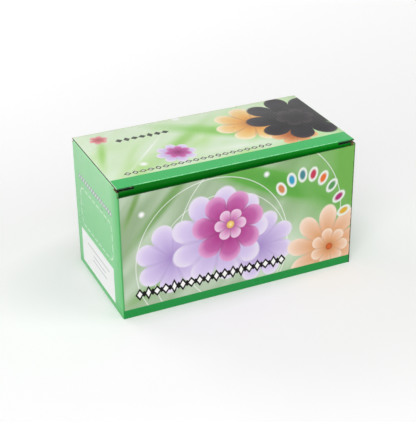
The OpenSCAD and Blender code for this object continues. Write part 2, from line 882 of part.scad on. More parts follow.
// Curved bar on the dome that the hand pushes the carriage with
module grip_bar() {
    bar_x0 = dome_w / 2 - dome_r - bar_inset;
    foot = 1.5;
    foot_wall = 1.2;
    color("#c9a6e0")
    on_carriage()
    translate([bar_x0, 0, dome_top]) {
        translate([0, 0, foot]) rotate([90, 0, 90])
            rotate_extrude(angle = 180) translate([arch_r, 0]) circle(bar_r);
        for (sy = [-1, 1])
            translate([0, sy * arch_r, 0]) cylinder(r = bar_r + foot_wall, h = foot);
    }
}

// ---- Stamping roller ----

module roller_sleeve() {
    color("#f2f0ee")
    on_carriage()
    difference() {
        bar_y(0, -roller_len / 2, roller_len / 2, roller_z, roller_r);
        bar_y(0, -roller_len, roller_len, roller_z, core_r + fix_clear);
    }
}

hub_wall = 2;

module roller_core() {
    color("#e6d8f0")
    on_carriage()
    difference() {
        union() {
            bar_y(0, -roller_len / 2, roller_len / 2, roller_z, core_r);
            bar_y(0, -side_in + move_gap, side_in - move_gap, roller_z, axle_r + hub_wall);
        }
        bar_y(0, -rod_y, rod_y, roller_z, axle_r + fix_clear);
    }
}

axle_over = 0.6;                                    // axle's reach past the clips
axle_end = side_out + move_gap + clip_t + axle_over;

module roller_axle() {
    color("#c4c8cc") on_carriage() bar_y(0, -axle_end, axle_end, roller_z, axle_r);
}

module axle_clips() {
    color("#9aa0a6")
    on_carriage()
    for (sy = [-1, 1])
        difference() {
            bar_y(0, sy * (side_out + move_gap + clip_t / 2) - clip_t / 2,
                  sy * (side_out + move_gap + clip_t / 2) + clip_t / 2, roller_z, clip_r);
            bar_y(0, -carton_d, carton_d, roller_z, axle_r + fix_clear);
        }
}

// ---- Press handle with the scraper ----

module press_handle() {
    color("#c9a6e0")
    on_carriage()
    difference() {
        translate([scraper_x, 0, press_z]) linear_extrude(press_h) rounded_rect(press_w, press_d, 5);
        for (sy = [-1, 1])
            translate([scraper_x, sy * stem_y, press_z - eps]) {
                cylinder(r = sleeve_r + move_gap, h = press_roof - press_z + eps);
                cylinder(r = stem_r + fix_clear, h = press_h - stem_cap + eps);
            }
    }
}

module press_stems() {
    color("#c4c8cc")
    on_carriage()
    for (sy = [-1, 1])
        translate([scraper_x, sy * stem_y, stem_foot_z])
            cylinder(r = stem_r, h = press_z + press_h - stem_cap - head_gap - stem_foot_z);
}

module press_springs() {
    color("#9aa0a6")
    on_carriage()
    for (sy = [-1, 1])
        translate([scraper_x, sy * stem_y, sleeve_z])
            spring_tube(stem_r + rest_gap, sleeve_r - rest_gap, press_roof - sleeve_z);
}

module scraper_holder() {
    color("#b690d2")
    on_carriage()
    difference() {
        box([scraper_x - holder_t / 2, -blade_w / 2 - blade_over, holder_z],
            [scraper_x + holder_t / 2, blade_w / 2 + blade_over, holder_z + holder_h]);
        for (sy = [-1, 1])
            translate([scraper_x, sy * stem_y, stem_foot_z])
                cylinder(r = stem_r + fix_clear, h = stem_seat + eps);
        box([scraper_x - blade_t / 2, -blade_w, holder_z - eps],
            [scraper_x + blade_t / 2, blade_w, holder_z + blade_seat]);
    }
}

module scraper_blade() {
    color("#c9cdd2")
    on_carriage()
    box([scraper_x - blade_t / 2, -blade_w / 2, blade_z],
        [scraper_x + blade_t / 2, blade_w / 2, holder_z + blade_seat]);
}

// ---- Round button ----

button_rest = 0.5;                                  // how far it stands out when pressed
button_face = -dome_d / 2 - button_travel - button_rest;
button_cap = 2;
button_skirt = 1.2;
button_roof = button_face + button_cap;
stem_back = 4;                                      // stem's reach behind the side plate

module round_button() {
    color("#e05aa6")
    on_carriage()
    difference() {
        union() {
            bar_y(button_x, button_face, -dome_d / 2 + wall_t + button_rest, button_z, button_r);
            bar_y(button_x, button_face, -side_in + stem_back, button_z, button_stem_r);
        }
        difference() {
            bar_y(button_x, button_roof, 0, button_z, button_r - button_skirt);
            bar_y(button_x, button_roof - eps, eps, button_z, button_stem_r);
        }
    }
}

module button_spring() {
    color("#9aa0a6")
    on_carriage()
    difference() {
        bar_y(button_x, button_roof, -side_out, button_z, button_stem_r + rest_gap + coil_t);
        bar_y(button_x, button_roof - eps, -side_out + eps, button_z, button_stem_r + rest_gap);
    }
}

front_panel();
back_panel();
left_panel();
right_panel();
glue_flap();
bottom_panel();
bottom_tuck_flap();
bottom_dust_flap_left();
bottom_dust_flap_right();
side_label();
insert_tray();
lid_panel();
tuck_flap();
dust_flap_left();
dust_flap_right();
base_shell();
base_cover();
rubber_feet();
cover_screws();
front_grip();
hump_shell();
plate_bed();
pattern_plate();
plate_rail();
latch_knob();
guide_rods();
end_bumpers();
finger_platform();
finger_pad();
finger_springs();
carriage_frame();
rod_bushes();
dome_cover();
dome_screws();
grip_bar();
roller_sleeve();
roller_core();
roller_axle();
axle_clips();
press_handle();
press_stems();
press_springs();
scraper_holder();
scraper_blade();
round_button();
button_spring();
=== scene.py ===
"""Boxed nail art stamping machine: its printed carton of corrugated board, and the machine in it."""
import math

import bmesh
import bpy
from mathutils import Matrix, Vector


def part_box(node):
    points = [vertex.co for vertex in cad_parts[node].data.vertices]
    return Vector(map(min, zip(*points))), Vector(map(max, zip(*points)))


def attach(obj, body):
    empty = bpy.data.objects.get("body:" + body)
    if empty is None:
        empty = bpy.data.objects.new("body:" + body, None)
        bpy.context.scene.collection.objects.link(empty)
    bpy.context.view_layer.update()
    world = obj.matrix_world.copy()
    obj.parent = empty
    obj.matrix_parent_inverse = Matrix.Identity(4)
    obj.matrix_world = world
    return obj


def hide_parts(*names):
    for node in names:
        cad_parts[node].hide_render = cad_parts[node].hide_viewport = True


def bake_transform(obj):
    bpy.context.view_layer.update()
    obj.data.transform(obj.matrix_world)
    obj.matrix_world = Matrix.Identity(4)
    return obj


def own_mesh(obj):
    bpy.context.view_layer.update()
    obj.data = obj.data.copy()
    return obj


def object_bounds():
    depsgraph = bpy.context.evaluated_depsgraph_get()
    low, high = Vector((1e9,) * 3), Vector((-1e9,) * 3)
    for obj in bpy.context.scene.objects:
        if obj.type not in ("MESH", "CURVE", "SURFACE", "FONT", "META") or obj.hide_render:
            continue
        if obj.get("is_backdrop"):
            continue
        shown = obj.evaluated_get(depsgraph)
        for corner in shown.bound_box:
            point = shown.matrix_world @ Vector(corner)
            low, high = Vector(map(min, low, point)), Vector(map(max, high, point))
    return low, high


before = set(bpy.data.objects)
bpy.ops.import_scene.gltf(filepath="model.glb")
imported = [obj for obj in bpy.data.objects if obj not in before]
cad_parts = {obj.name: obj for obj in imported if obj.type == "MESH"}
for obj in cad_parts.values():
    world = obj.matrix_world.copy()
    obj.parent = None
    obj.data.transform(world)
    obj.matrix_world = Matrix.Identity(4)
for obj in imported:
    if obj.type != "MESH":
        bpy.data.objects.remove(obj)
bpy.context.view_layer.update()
bpy.ops.object.select_all(action="DESELECT")

# ---- Carton sleeve ----
# Four walls folded from one sheet of E-flute board, with a glue flap behind the front panel's
# right edge. The white liner outside is offset printed and gloss coated, the inside is bare kraft.
# The front panel's cut edge lies lower than the lid and climbs a little to the right.

carton_w, carton_d, carton_h = 0.220, 0.112, 0.123
board_t, board_edge, flute_pitch = 0.0015, 0.00022, 0.0032
back_h, side_h = 0.1215, 0.1197
front_h, front_climb = 0.1165, 0.0028
fold_r = 0.0013
same = 1e-5     # two places nearer than this are the same place


def linear(colour):
    """An sRGB hex colour as the linear RGBA that the shaders take."""
    parts = [int(colour[i:i + 2], 16) / 255 for i in (1, 3, 5)]
    return [c / 12.92 if c <= 0.04045 else ((c + 0.055) / 1.055) ** 2.4 for c in parts] + [1.0]


def feed(tree, node, inputs):
    """Gives a node its inputs: a socket is linked, and a plain value is set on the input itself."""
    for name, value in inputs.items():
        if isinstance(value, bpy.types.NodeSocket):
            tree.links.new(value, node.inputs[name])
        else:
            node.inputs[name].default_value = value


def add(tree, kind, inputs, out=0, stops=(), **settings):
    """Adds a shader node with its settings and links, and gives one of its outputs. The stops of a
    colour ramp are (place, hex colour), with its two ends first."""
    made = tree.nodes.new("ShaderNode" + kind)
    for name, value in settings.items():
        setattr(made, name, value)
    feed(tree, made, inputs)
    for i, (place, colour) in enumerate(stops):
        stop = made.color_ramp.elements[i] if i < 2 else made.color_ramp.elements.new(place)
        stop.position, stop.color = place, linear(colour)
    return made.outputs[out]


def start_material(name):
    """A new material, its node tree, and the piece's own coordinates in metres."""
    made = bpy.data.materials.new(name)
    made.use_nodes = True
    return made, made.node_tree, add(made.node_tree, "TexCoord", {}, out="Object")


def surface(tree, inputs):
    """Gives the material's own shader its inputs."""
    feed(tree, tree.nodes["Principled BSDF"], inputs)


def tint(tree, under, value, reach, shares, colour):
    """One ink laid over another. Its share goes from one to the other of shares along reach."""
    share = add(tree, "MapRange", {0: value, 1: reach[0], 2: reach[1], 3: shares[0], 4: shares[1]})
    return add(tree, "Mix", {0: share, 6: under, 7: linear(colour)}, out=2, data_type="RGBA")


# Gloss coated, offset printed board, which gives the eye clear even inks and soft broad highlights.
# The flutes just show through the liner, and the coat is duller where shelves have rubbed it.
def start_board(name, across, up):
    """A printed board's material, tree, and flat coordinates (two of the axes 0, 1 and 2)."""
    made, tree, where = start_material(name)
    axes = add(tree, "SeparateXYZ", {0: where}).node.outputs
    flat = add(tree, "CombineXYZ", {0: axes[across], 1: axes[up]})
    # A wave texture turns 20 radians a unit, so this scale puts the flutes one pitch apart.
    flutes = add(tree, "TexWave", {"Vector": flat, "Scale": math.pi / 10 / flute_pitch,
                 "Distortion": 0.6}, out="Fac", wave_type="BANDS", bands_direction="X")
    grain = add(tree, "TexNoise", {"Vector": flat, "Scale": 1 / 0.00045, "Detail": 2.0})
    relief = add(tree, "Math", {0: grain, 1: 0.35, 2: flutes}, operation="MULTIPLY_ADD")
    rubbed = add(tree, "TexNoise", {"Vector": flat, "Scale": 1 / 0.038, "Detail": 4.0})
    rough = add(tree, "MapRange", {0: rubbed, 1: 0.35, 2: 0.7, 3: 0.26, 4: 0.40})
    bump = add(tree, "Bump", {"Strength": 0.10, "Distance": 0.0004, "Height": relief})
    surface(tree, {"IOR": 1.5, "Specular IOR Level": 0.12, "Roughness": rough, "Normal": bump})
    return made, tree, flat


def oval(tree, flat, under, centre, half, turn, stops, soft=0.05, share=1.0):
    """An oval of ink, coloured from its middle (0) to its edge (1)."""
    place = add(tree, "Mapping", {"Vector": flat, "Location": (*centre, 0), "Scale": (*half, 1),
                "Rotation": (0, 0, math.radians(turn))}, vector_type="TEXTURE")
    out = add(tree, "VectorMath", {0: place}, out="Value", operation="LENGTH")
    inside = add(tree, "MapRange", {0: out, 1: 1 - soft, 2: 1 + soft, 3: share, 4: 0})
    ink = add(tree, "ValToRGB", {0: out}, stops=stops)
    return add(tree, "Mix", {0: inside, 6: under, 7: ink}, out=2, data_type="RGBA")


def blossom(tree, flat, under, centre, radius, petals, turn, stops, notch=0.42):
    """A flower seen from above: petals round a middle, with a darker crease between them."""
    place = add(tree, "Mapping", {"Vector": flat, "Location": (*centre, 0),
                "Rotation": (0, 0, math.radians(turn)), "Scale": (radius, radius, 1)},
                vector_type="TEXTURE")
    axes = add(tree, "SeparateXYZ", {0: place}).node.outputs
    out = add(tree, "VectorMath", {0: place}, out="Value", operation="LENGTH")
    angle = add(tree, "Math", {0: axes[1], 1: axes[0]}, operation="ARCTAN2")
    angle = add(tree, "Math", {0: angle, 1: petals / 2}, operation="MULTIPLY")
    swirl = add(tree, "Math", {0: out, 1: 0.35, 2: angle}, operation="MULTIPLY_ADD")
    swing = add(tree, "Math", {0: swirl}, operation="COSINE")
    lobe = add(tree, "Math", {0: swing}, operation="ABSOLUTE")
    blunt = add(tree, "Math", {0: lobe, 1: 0.45}, operation="POWER")
    reach = add(tree, "Math", {0: blunt, 1: notch, 2: 1 - notch}, operation="MULTIPLY_ADD")
    share = add(tree, "Math", {0: out, 1: reach}, operation="DIVIDE")
    petal = add(tree, "ValToRGB", {0: share}, stops=stops)
    petal = tint(tree, petal, lobe, (0.0, 0.45), (0.5, 0.0), stops[0][1])
    inside = add(tree, "MapRange", {0: share, 1: 0.975, 2: 1.02, 3: 1, 4: 0})
    return add(tree, "Mix", {0: inside, 6: under, 7: petal}, out=2, data_type="RGBA")


def hairline(tree, flat, under, centre, radius):
    """A thin white arc of light, whose edges are soft."""
    half = 0.0004
    place = add(tree, "Mapping", {"Vector": flat, "Location": (*centre, 0)}, vector_type="TEXTURE")
    out = add(tree, "VectorMath", {0: place}, out="Value", operation="LENGTH")
    off = add(tree, "Math", {0: out, 1: radius}, operation="SUBTRACT")
    off = add(tree, "Math", {0: off}, operation="ABSOLUTE")
    return tint(tree, under, off, (half * 0.6, half * 1.4), (0.6, 0), "#ffffff")


def bead_row(tree, flat, under, start, pitch, count, height, rim, fill, share=1.0, stout=1.0):
    """A border of rimmed lozenges of uneven size."""
    axes = add(tree, "SeparateXYZ", {0: flat}).node.outputs
    run = add(tree, "Math", {0: axes[0], 1: start[0]}, operation="SUBTRACT")
    run = add(tree, "Math", {0: run, 1: pitch}, operation="DIVIDE")
    cell = add(tree, "Math", {0: run}, operation="FLOOR")
    chance = add(tree, "TexWhiteNoise", {"W": cell}, out="Value", noise_dimensions="1D")
    side = add(tree, "Math", {0: run, 1: cell}, operation="SUBTRACT")
    side = add(tree, "Math", {0: side, 1: 0.5}, operation="SUBTRACT")
    side = add(tree, "Math", {0: side}, operation="ABSOLUTE")
    rise = add(tree, "Math", {0: axes[1], 1: start[1]}, operation="SUBTRACT")
    rise = add(tree, "Math", {0: rise}, operation="ABSOLUTE")
    half_w = add(tree, "MapRange", {0: chance, 1: 0, 2: 1, 3: 0.33 * stout, 4: 0.45 * stout})
    half_h = add(tree, "MapRange", {0: chance, 1: 0, 2: 1, 3: height * 0.5, 4: height * 0.34})
    wide = add(tree, "Math", {0: side, 1: half_w}, operation="DIVIDE")
    tall = add(tree, "Math", {0: rise, 1: half_h}, operation="DIVIDE")
    out = add(tree, "Math", {0: wide, 1: tall}, operation="ADD")
    begun = add(tree, "Math", {0: run, 1: 0.0}, operation="GREATER_THAN")
    going_on = add(tree, "Math", {0: run, 1: float(count)}, operation="LESS_THAN")
    along = add(tree, "Math", {0: begun, 1: going_on}, operation="MULTIPLY")
    whole = add(tree, "MapRange", {0: out, 1: 0.95, 2: 1.05, 3: share, 4: 0})
    whole = add(tree, "Math", {0: along, 1: whole}, operation="MULTIPLY")
    middle = add(tree, "MapRange", {0: out, 1: 0.50, 2: 0.62, 3: 1, 4: 0})
    ink = add(tree, "Mix", {0: middle, 6: linear(rim), 7: linear(fill)}, out=2, data_type="RGBA")
    return add(tree, "Mix", {0: whole, 6: under, 7: ink}, out=2, data_type="RGBA")


def leafy_ground(tree, flat, turn, low, middle, high, reach, share, side_colour):
    """Soft leaf streaks 24 mm wide and 100 mm long, turned as the leaves lie. The ground goes over
    to side_colour, by share, along reach."""
    lie = add(tree, "Mapping", {"Vector": flat, "Rotation": (0, 0, math.radians(turn)),
              "Scale": (0.10, 0.024, 1)}, vector_type="TEXTURE")
    streak = add(tree, "TexNoise", {"Vector": lie, "Scale": 1.0, "Detail": 1.5, "Roughness": 0.45,
                 "Distortion": 0.4})
    ground = add(tree, "ValToRGB", {0: streak}, stops=[(0.32, low), (0.66, high), (0.48, middle)])
    return tint(tree, ground, add(tree, "SeparateXYZ", {0: flat}), reach, (0, share), side_colour)


def choose(what, wanted):
    """In edit mode, selects the faces, edges or points for which wanted(middle, direction) holds."""
    bpy.ops.mesh.select_mode(type={"faces": "FACE", "edges": "EDGE", "verts": "VERT"}[what])
    bpy.ops.mesh.select_all(action="DESELECT")
    shape = bmesh.from_edit_mesh(bpy.context.object.data)
    for item in getattr(shape, what):
        if what == "faces":
            middle, way = item.calc_center_median(), item.normal
        elif what == "edges":
            ends = [v.co for v in item.verts]
            middle, way = (ends[0] + ends[1]) / 2, (ends[1] - ends[0]).normalized()
        else:
            middle, way = item.co, item.normal
        item.select_set(bool(wanted(middle, way)))
    shape.select_flush_mode()
    bmesh.update_edit_mesh(bpy.context.object.data)


def block(name, low, high):
    """A new block between two corners, ready to be shaped in edit mode."""
    bpy.ops.object.select_all(action="DESELECT")
    bpy.ops.mesh.primitive_cube_add(size=1)
    piece = bpy.context.object
    piece.name = name
    low, high = Vector(low), Vector(high)
    piece.scale = high - low
    piece.location = (low + high) / 2
    bpy.ops.object.transform_apply(location=True, rotation=True, scale=True)
    bpy.ops.object.mode_set(mode="EDIT")
    return piece


def pick(first, *others):
    """Leaves edit mode, selects these pieces alone and makes the first one active."""
    if bpy.context.mode != "OBJECT":
        bpy.ops.object.mode_set(mode="OBJECT")
    bpy.ops.object.select_all(action="DESELECT")
    for piece in (first, *others):
        piece.select_set(True)
    bpy.context.view_layer.objects.active = first


def modify(piece, kind, **settings):
    """Adds one modifier and applies it."""
    pick(piece)
    made = piece.modifiers.new(kind.title(), kind)
    for name, value in settings.items():
        setattr(made, name, value)
    bpy.ops.object.modifier_apply(modifier=made.name)


def round_edges(piece, width, segments=2, angle=50, **settings):
    """Rounds the edges where a piece's faces turn by more than an angle in degrees."""
    modify(piece, "BEVEL", width=width, segments=segments, limit_method="ANGLE",
           angle_limit=math.radians(angle), **settings)


def cut_across(place, way):
    """In edit mode, adds the edges where a plane cuts the piece, and removes nothing."""
    bpy.ops.mesh.select_all(action="SELECT")
    bpy.ops.mesh.bisect(plane_co=place, plane_no=way)


def finish_piece(piece, body, *nodes, angle=40):
    """Shades a finished piece, puts it on its body and lets it stand for its CAD nodes."""
    pick(piece)
    bpy.ops.object.shade_smooth_by_angle(angle=math.radians(angle))
    if body:
        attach(piece, body)
    if nodes:
        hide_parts(*nodes)


# Front: sage ground with a bright leaf, a large lilac and magenta bloom where a picture is wanted,
# eight lacquer swatches in a bow, peach petals at the corner and a border of lozenges below.
front_print, tree, flat = start_board("gloss coated printed board, front", 0, 2)
ink = leafy_ground(tree, flat, 52, "#9ab38d", "#b1c6a7", "#ccdbc6", (0.020, 0.095), 1.0, "#76b455")
ink = oval(tree, flat, ink, (0.034, 0.098), (0.070, 0.0125), -24,
           [(0.0, "#55a53c"), (0.75, "#66b04a"), (1.0, "#7fb967")], soft=0.28, share=0.95)
ink = oval(tree, flat, ink, (0.084, 0.070), (0.040, 0.011), -48,
           [(0.0, "#69ae4c"), (1.0, "#82ba6a")], soft=0.4, share=0.85)
ink = oval(tree, flat, ink, (-0.070, 0.100), (0.042, 0.005), 47,
           [(0.0, "#6d9f4e"), (1.0, "#88ad74")], soft=0.4, share=0.9)
ink = oval(tree, flat, ink, (-0.098, 0.103), (0.022, 0.003), 66,
           [(0.0, "#739d50"), (1.0, "#93b37f")], soft=0.4, share=0.95)
ink = oval(tree, flat, ink, (-0.090, 0.020), (0.030, 0.006), 24,
           [(0.0, "#7eae62"), (1.0, "#9bc088")], soft=0.6, share=0.7)
ink = oval(tree, flat, ink, (0.046, 0.032), (0.034, 0.026), 0,
           [(0.0, "#e9f2e4"), (1.0, "#cfe3c6")], soft=0.9, share=0.75)
for centre, radius in (((-0.026, 0.044), 0.071), ((-0.018, 0.036), 0.063), ((0.020, 0.060), 0.078)):
    ink = hairline(tree, flat, ink, centre, radius)
white = [(0, "#ffffff"), (1, "#ffffff")]
for centre in ((-0.090, 0.096), (0.024, 0.108), (0.068, 0.100)):
    ink = oval(tree, flat, ink, centre, (0.0022, 0.0022), 0, white, soft=0.6)
lilac = [(0.0, "#a98fcb"), (1.0, "#eee6f6"), (0.45, "#c9b5e2"), (0.8, "#dccdf0")]
magenta = [(0.0, "#8d2a6c"), (1.0, "#e7a9d6"), (0.4, "#b3458f"), (0.78, "#c768ab")]
pollen, pollen_r = [(0, "#fbe9a8"), (1, "#e9b44c")], 0.0036
ink = blossom(tree, flat, ink, (-0.064, 0.049), 0.034, 7, 12, lilac)
ink = blossom(tree, flat, ink, (0.018, 0.040), 0.034, 8, 30, lilac)
ink = blossom(tree, flat, ink, (-0.020, 0.060), 0.046, 9, 5, lilac)
ink = blossom(tree, flat, ink, (-0.012, 0.066), 0.034, 7, 21, magenta)
ink = blossom(tree, flat, ink, (-0.010, 0.068), 0.015, 6, 4,
              [(0.0, "#7d235e"), (1.0, "#f3d3ea"), (0.5, "#d88ac0")])
ink = oval(tree, flat, ink, (-0.010, 0.068), (pollen_r, pollen_r), 0, pollen)
peach = [(0.0, "#c9854f"), (1.0, "#fbe6d4"), (0.42, "#e6ac80"), (0.8, "#f3cdb0")]
ink = blossom(tree, flat, ink, (0.086, 0.024), 0.041, 9, 14, peach, notch=0.55)
ink = blossom(tree, flat, ink, (0.088, 0.022), 0.019, 7, 2, peach)
ink = oval(tree, flat, ink, (0.088, 0.022), (0.0034, 0.0034), 0, [(0, "#e0703c"), (1, "#c25a2c")])
swatches = ["#d98a5a", "#3fa0c8", "#4f8a94", "#c8405a", "#e8763c", "#5c9a5e", "#b03a78", "#e2b23c"]
bow_middle, bow_w, bow_h = (0.060, 0.022), 0.0459, 0.078
for i, lacquer in enumerate(swatches):
    lean = 118 - 13.2 * i
    centre = (bow_middle[0] + bow_w * math.cos(math.radians(lean)),
              bow_middle[1] + bow_h * math.sin(math.radians(lean)))
    ink = oval(tree, flat, ink, centre, (0.0072, 0.0046), lean,
               [(0, "#f7faf5"), (1, "#e9f1e6")], soft=0.1)
    ink = oval(tree, flat, ink, centre, (0.0045, 0.0027), lean,
               [(0, lacquer), (1, lacquer)], soft=0.25)
ink = bead_row(tree, flat, ink, (-0.0945, 0.0205), 0.0079, 17, 0.0075, "#161314", "#161314")
ink = bead_row(tree, flat, ink, (-0.0985, 0.0205), 0.0079, 18, 0.0150, "#161314", "#fbfaf8", stout=1.3)
# The green of the left side wraps round its fold, and a darker green band runs along the bottom.
axes = add(tree, "SeparateXYZ", {0: flat}).node.outputs
bottom_band = (0.0079, 0.0084)
ink = tint(tree, ink, axes[0], (-0.1087, -0.1083), (1, 0), "#58a664")
ink = tint(tree, ink, axes[1], bottom_band, (1, 0), "#289648")
# The glued seam at the right end shows its cut liner, darker towards the bottom.
ragged = add(tree, "TexNoise", {"Vector": flat, "Scale": 1 / 0.0038, "Detail": 2.0})
wander = add(tree, "MapRange", {0: ragged, 1: 0.35, 2: 0.65, 3: -0.0002, 4: 0.0003})
seam = add(tree, "Math", {0: axes[0], 1: wander}, operation="ADD")
seam = add(tree, "MapRange", {0: seam, 1: 0.1091, 2: 0.1094})
darker_towards_bottom = add(tree, "MapRange", {0: axes[1], 1: 0.0, 2: 0.11, 3: 0.95, 4: 0.6})
share = add(tree, "Math", {0: seam, 1: darker_towards_bottom}, operation="MULTIPLY")
ink = add(tree, "Mix", {0: share, 6: ink, 7: linear("#1c2412")}, out=2, data_type="RGBA")
surface(tree, {"Base Color": ink})

# Left side: plain green, more saturated along the front fold and the bottom, with a dashed frame
# and a row of lozenges above it.
left_print, tree, flat = start_board("gloss coated printed board, left", 1, 2)
axes = add(tree, "SeparateXYZ", {0: flat}).node.outputs
rise = add(tree, "MapRange", {0: axes[1], 1: 0.0, 2: carton_h})
ink = add(tree, "ValToRGB", {0: rise}, stops=[(0.0, "#77c989"), (1.0, "#a3e0aa"), (0.5, "#8bd797")])
mottle = add(tree, "TexNoise", {"Vector": flat, "Scale": 1 / 0.033, "Detail": 3.0})
ink = tint(tree, ink, mottle, (0.4, 0.7), (0, 0.25), "#a0daa7")
ink = tint(tree, ink, axes[0], (-0.0535, -0.038), (1, 0), "#67ca79")
ink = tint(tree, ink, axes[1], (0.004, 0.012), (0.65, 0), "#5fbd72")
frame_mid, frame_half, frame_r, dash_pitch = (0.0015, 0.0645), (0.0315, 0.0105), 0.008, 0.0095
place = add(tree, "Mapping", {"Vector": flat, "Location": (*frame_mid, 0)}, vector_type="TEXTURE")
far = add(tree, "VectorMath", {0: place}, operation="ABSOLUTE")
far = add(tree, "VectorMath", {0: far, 1: (*frame_half, 0)}, operation="SUBTRACT")
far = add(tree, "VectorMath", {0: far, 1: (0, 0, 0)}, operation="MAXIMUM")
far = add(tree, "VectorMath", {0: far}, out="Value", operation="LENGTH")
off = add(tree, "Math", {0: far, 1: frame_r}, operation="SUBTRACT")
off = add(tree, "Math", {0: off}, operation="ABSOLUTE")
line = add(tree, "MapRange", {0: off, 1: 0.0004, 2: 0.0009, 3: 1, 4: 0})
step = add(tree, "Math", {0: axes[0], 1: axes[1]}, operation="ADD")
step = add(tree, "Math", {0: step, 1: 1 / dash_pitch}, operation="MULTIPLY")
step = add(tree, "Math", {0: step}, operation="FRACT")
dash = add(tree, "MapRange", {0: step, 1: 0.70, 2: 0.74, 3: 0.9, 4: 0})
share = add(tree, "Math", {0: line, 1: dash}, operation="MULTIPLY")
ink = add(tree, "Mix", {0: share, 6: ink, 7: linear("#def7de")}, out=2, data_type="RGBA")
ink = bead_row(tree, flat, ink, (-0.040, 0.0925), 0.0052, 16, 0.0080, "#a98fb4", "#f1ecf5",
               share=0.85, stout=1.2)
surface(tree, {"Base Color": ink})

# Right side: the front's green with a pale bloom and a row of lozenges.
right_print, tree, flat = start_board("gloss coated printed board, right", 1, 2)
ink = leafy_ground(tree, flat, 60, "#6cb058", "#7fbd68", "#9bcf88", (-0.056, 0.056), 0.5, "#8fd09a")
ink = blossom(tree, flat, ink, (0.004, 0.064), 0.034, 8, 15,
              [(0.0, "#8fc58a"), (1.0, "#e4f3dd"), (0.5, "#b7deae")])
ink = bead_row(tree, flat, ink, (-0.042, 0.020), 0.0084, 10, 0.009, "#3f8a4a", "#d6efcf", share=0.8)
axes = add(tree, "SeparateXYZ", {0: flat}).node.outputs
ink = tint(tree, ink, axes[1], bottom_band, (1, 0), "#2d984e")
surface(tree, {"Base Color": ink})

# Back: the front's bloom again, smaller, beside five rows of lozenges.
back_print, tree, flat = start_board("gloss coated printed board, back", 0, 2)
ink = leafy_ground(tree, flat, 128, "#9dbb8c", "#b7d3ad", "#cfe2c8", (0.110, -0.110), 0.6, "#86bf6c")
ink = blossom(tree, flat, ink, (0.052, 0.066), 0.040, 8, 10, lilac)
ink = blossom(tree, flat, ink, (0.054, 0.068), 0.026, 7, 24, magenta)
ink = oval(tree, flat, ink, (0.054, 0.068), (pollen_r, pollen_r), 0, pollen)
for centre, radius in (((0.052, 0.066), 0.052), ((0.030, 0.050), 0.070)):
    ink = hairline(tree, flat, ink, centre, radius)
for row in range(5):
    ink = bead_row(tree, flat, ink, (-0.092, 0.092 - 0.014 * row), 0.0062, 11, 0.0052,
                   "#3f7a44", "#eef6ea", share=0.7)
axes = add(tree, "SeparateXYZ", {0: flat}).node.outputs
ink = tint(tree, ink, axes[1], bottom_band, (1, 0), "#2d984e")
surface(tree, {"Base Color": ink})

# Unbleached kraft liner, rolled and uncoated, which gives the eye a dull warm brown with clumped
# fibres. The real ones are finer than 1.4 mm, too fine to show.
kraft, tree, where = start_material("unbleached kraft liner")
fibre = add(tree, "TexNoise", {"Vector": where, "Scale": 1 / 0.0014, "Detail": 6.0, "Roughness": 0.7,
            "Distortion": 1.5})
cloud = add(tree, "TexNoise", {"Vector": where, "Scale": 1 / 0.022, "Detail": 3.0})
brown = add(tree, "ValToRGB", {0: fibre}, stops=[(0.30, "#9a754b"), (0.70, "#bd976a"), (0.5, "#ad875a")])
brown = tint(tree, brown, cloud, (0.4, 0.7), (0, 0.3), "#a27c51")
bump = add(tree, "Bump", {"Strength": 0.25, "Distance": 0.0002, "Height": fibre})
surface(tree, {"Base Color": brown, "Roughness": 0.85, "Sheen Weight": 0.15, "Normal": bump})

# Cut edge of corrugated board, which gives the eye the flutes as light ridges over dark hollows. The
# dark of the hollows is painted shade, where light doesn't reach between the liners.
raw_edge, tree, where = start_material("cut edge of corrugated board")
axes = add(tree, "SeparateXYZ", {0: where}).node.outputs
run = add(tree, "Math", {0: axes[0], 1: axes[1]}, operation="ADD")
run = add(tree, "Math", {0: run, 1: axes[2]}, operation="ADD")
run = add(tree, "Math", {0: run, 1: 2 * math.pi / flute_pitch}, operation="MULTIPLY")
wave = add(tree, "Math", {0: run}, operation="SINE")
rise = add(tree, "MapRange", {0: wave, 1: -1, 2: 1})
# The ramp's dark brown end is painted shade in the hollows between the flutes.
edge = add(tree, "ValToRGB", {0: rise}, stops=[(0.25, "#3a2a18"), (0.75, "#9a7a52"), (0.5, "#6f5334")])
bump = add(tree, "Bump", {"Strength": 0.6, "Distance": 0.0004, "Height": wave})
surface(tree, {"Base Color": edge, "Roughness": 0.9, "Normal": bump})

# Die-cut edge of printed board, crushed thin: green ink drawn down over it, with flecks of bare
# board 2 to 3 mm apart.
crushed_edge, tree, where = start_material("crushed die-cut edge of printed board")
fleck = add(tree, "TexNoise", {"Vector": where, "Scale": 1 / 0.0026, "Detail": 3.0})
edge = add(tree, "ValToRGB", {0: fleck}, stops=[(0.42, "#123f1d"), (0.74, "#866b45"), (0.62, "#1d552b")])
bump = add(tree, "Bump", {"Strength": 0.5, "Distance": 0.0003, "Height": fleck})
surface(tree, {"Base Color": edge, "Roughness": 0.7, "Normal": bump})

sleeve = block("carton_sleeve", (-carton_w / 2, -carton_d / 2, 0), (carton_w / 2, carton_d / 2, back_h))
choose("faces", lambda at, way: abs(way.z) > 0.9)
bpy.ops.mesh.delete(type="FACE")
choose("edges", lambda at, way: abs(way.z) > 0.9 and not (at.x > 0 and at.y < 0))
bpy.ops.mesh.bevel(offset=fold_r, segments=4, profile=0.5)
for height, climb in ((side_h, 0.0), (front_h, front_climb / carton_w)):
    cut_across((0, -carton_d / 2, height), (-climb, 0, 1))
choose("faces", lambda at, way: at.y < -carton_d / 2 + fold_r + same and at.z > front_h)
bpy.ops.mesh.delete(type="FACE")
choose("faces", lambda at, way: abs(at.x) > carton_w / 2 - fold_r and at.z > side_h)
bpy.ops.mesh.delete(type="FACE")
cut_across((0, -carton_d / 2 + board_t, 0), (0, 1, 0))
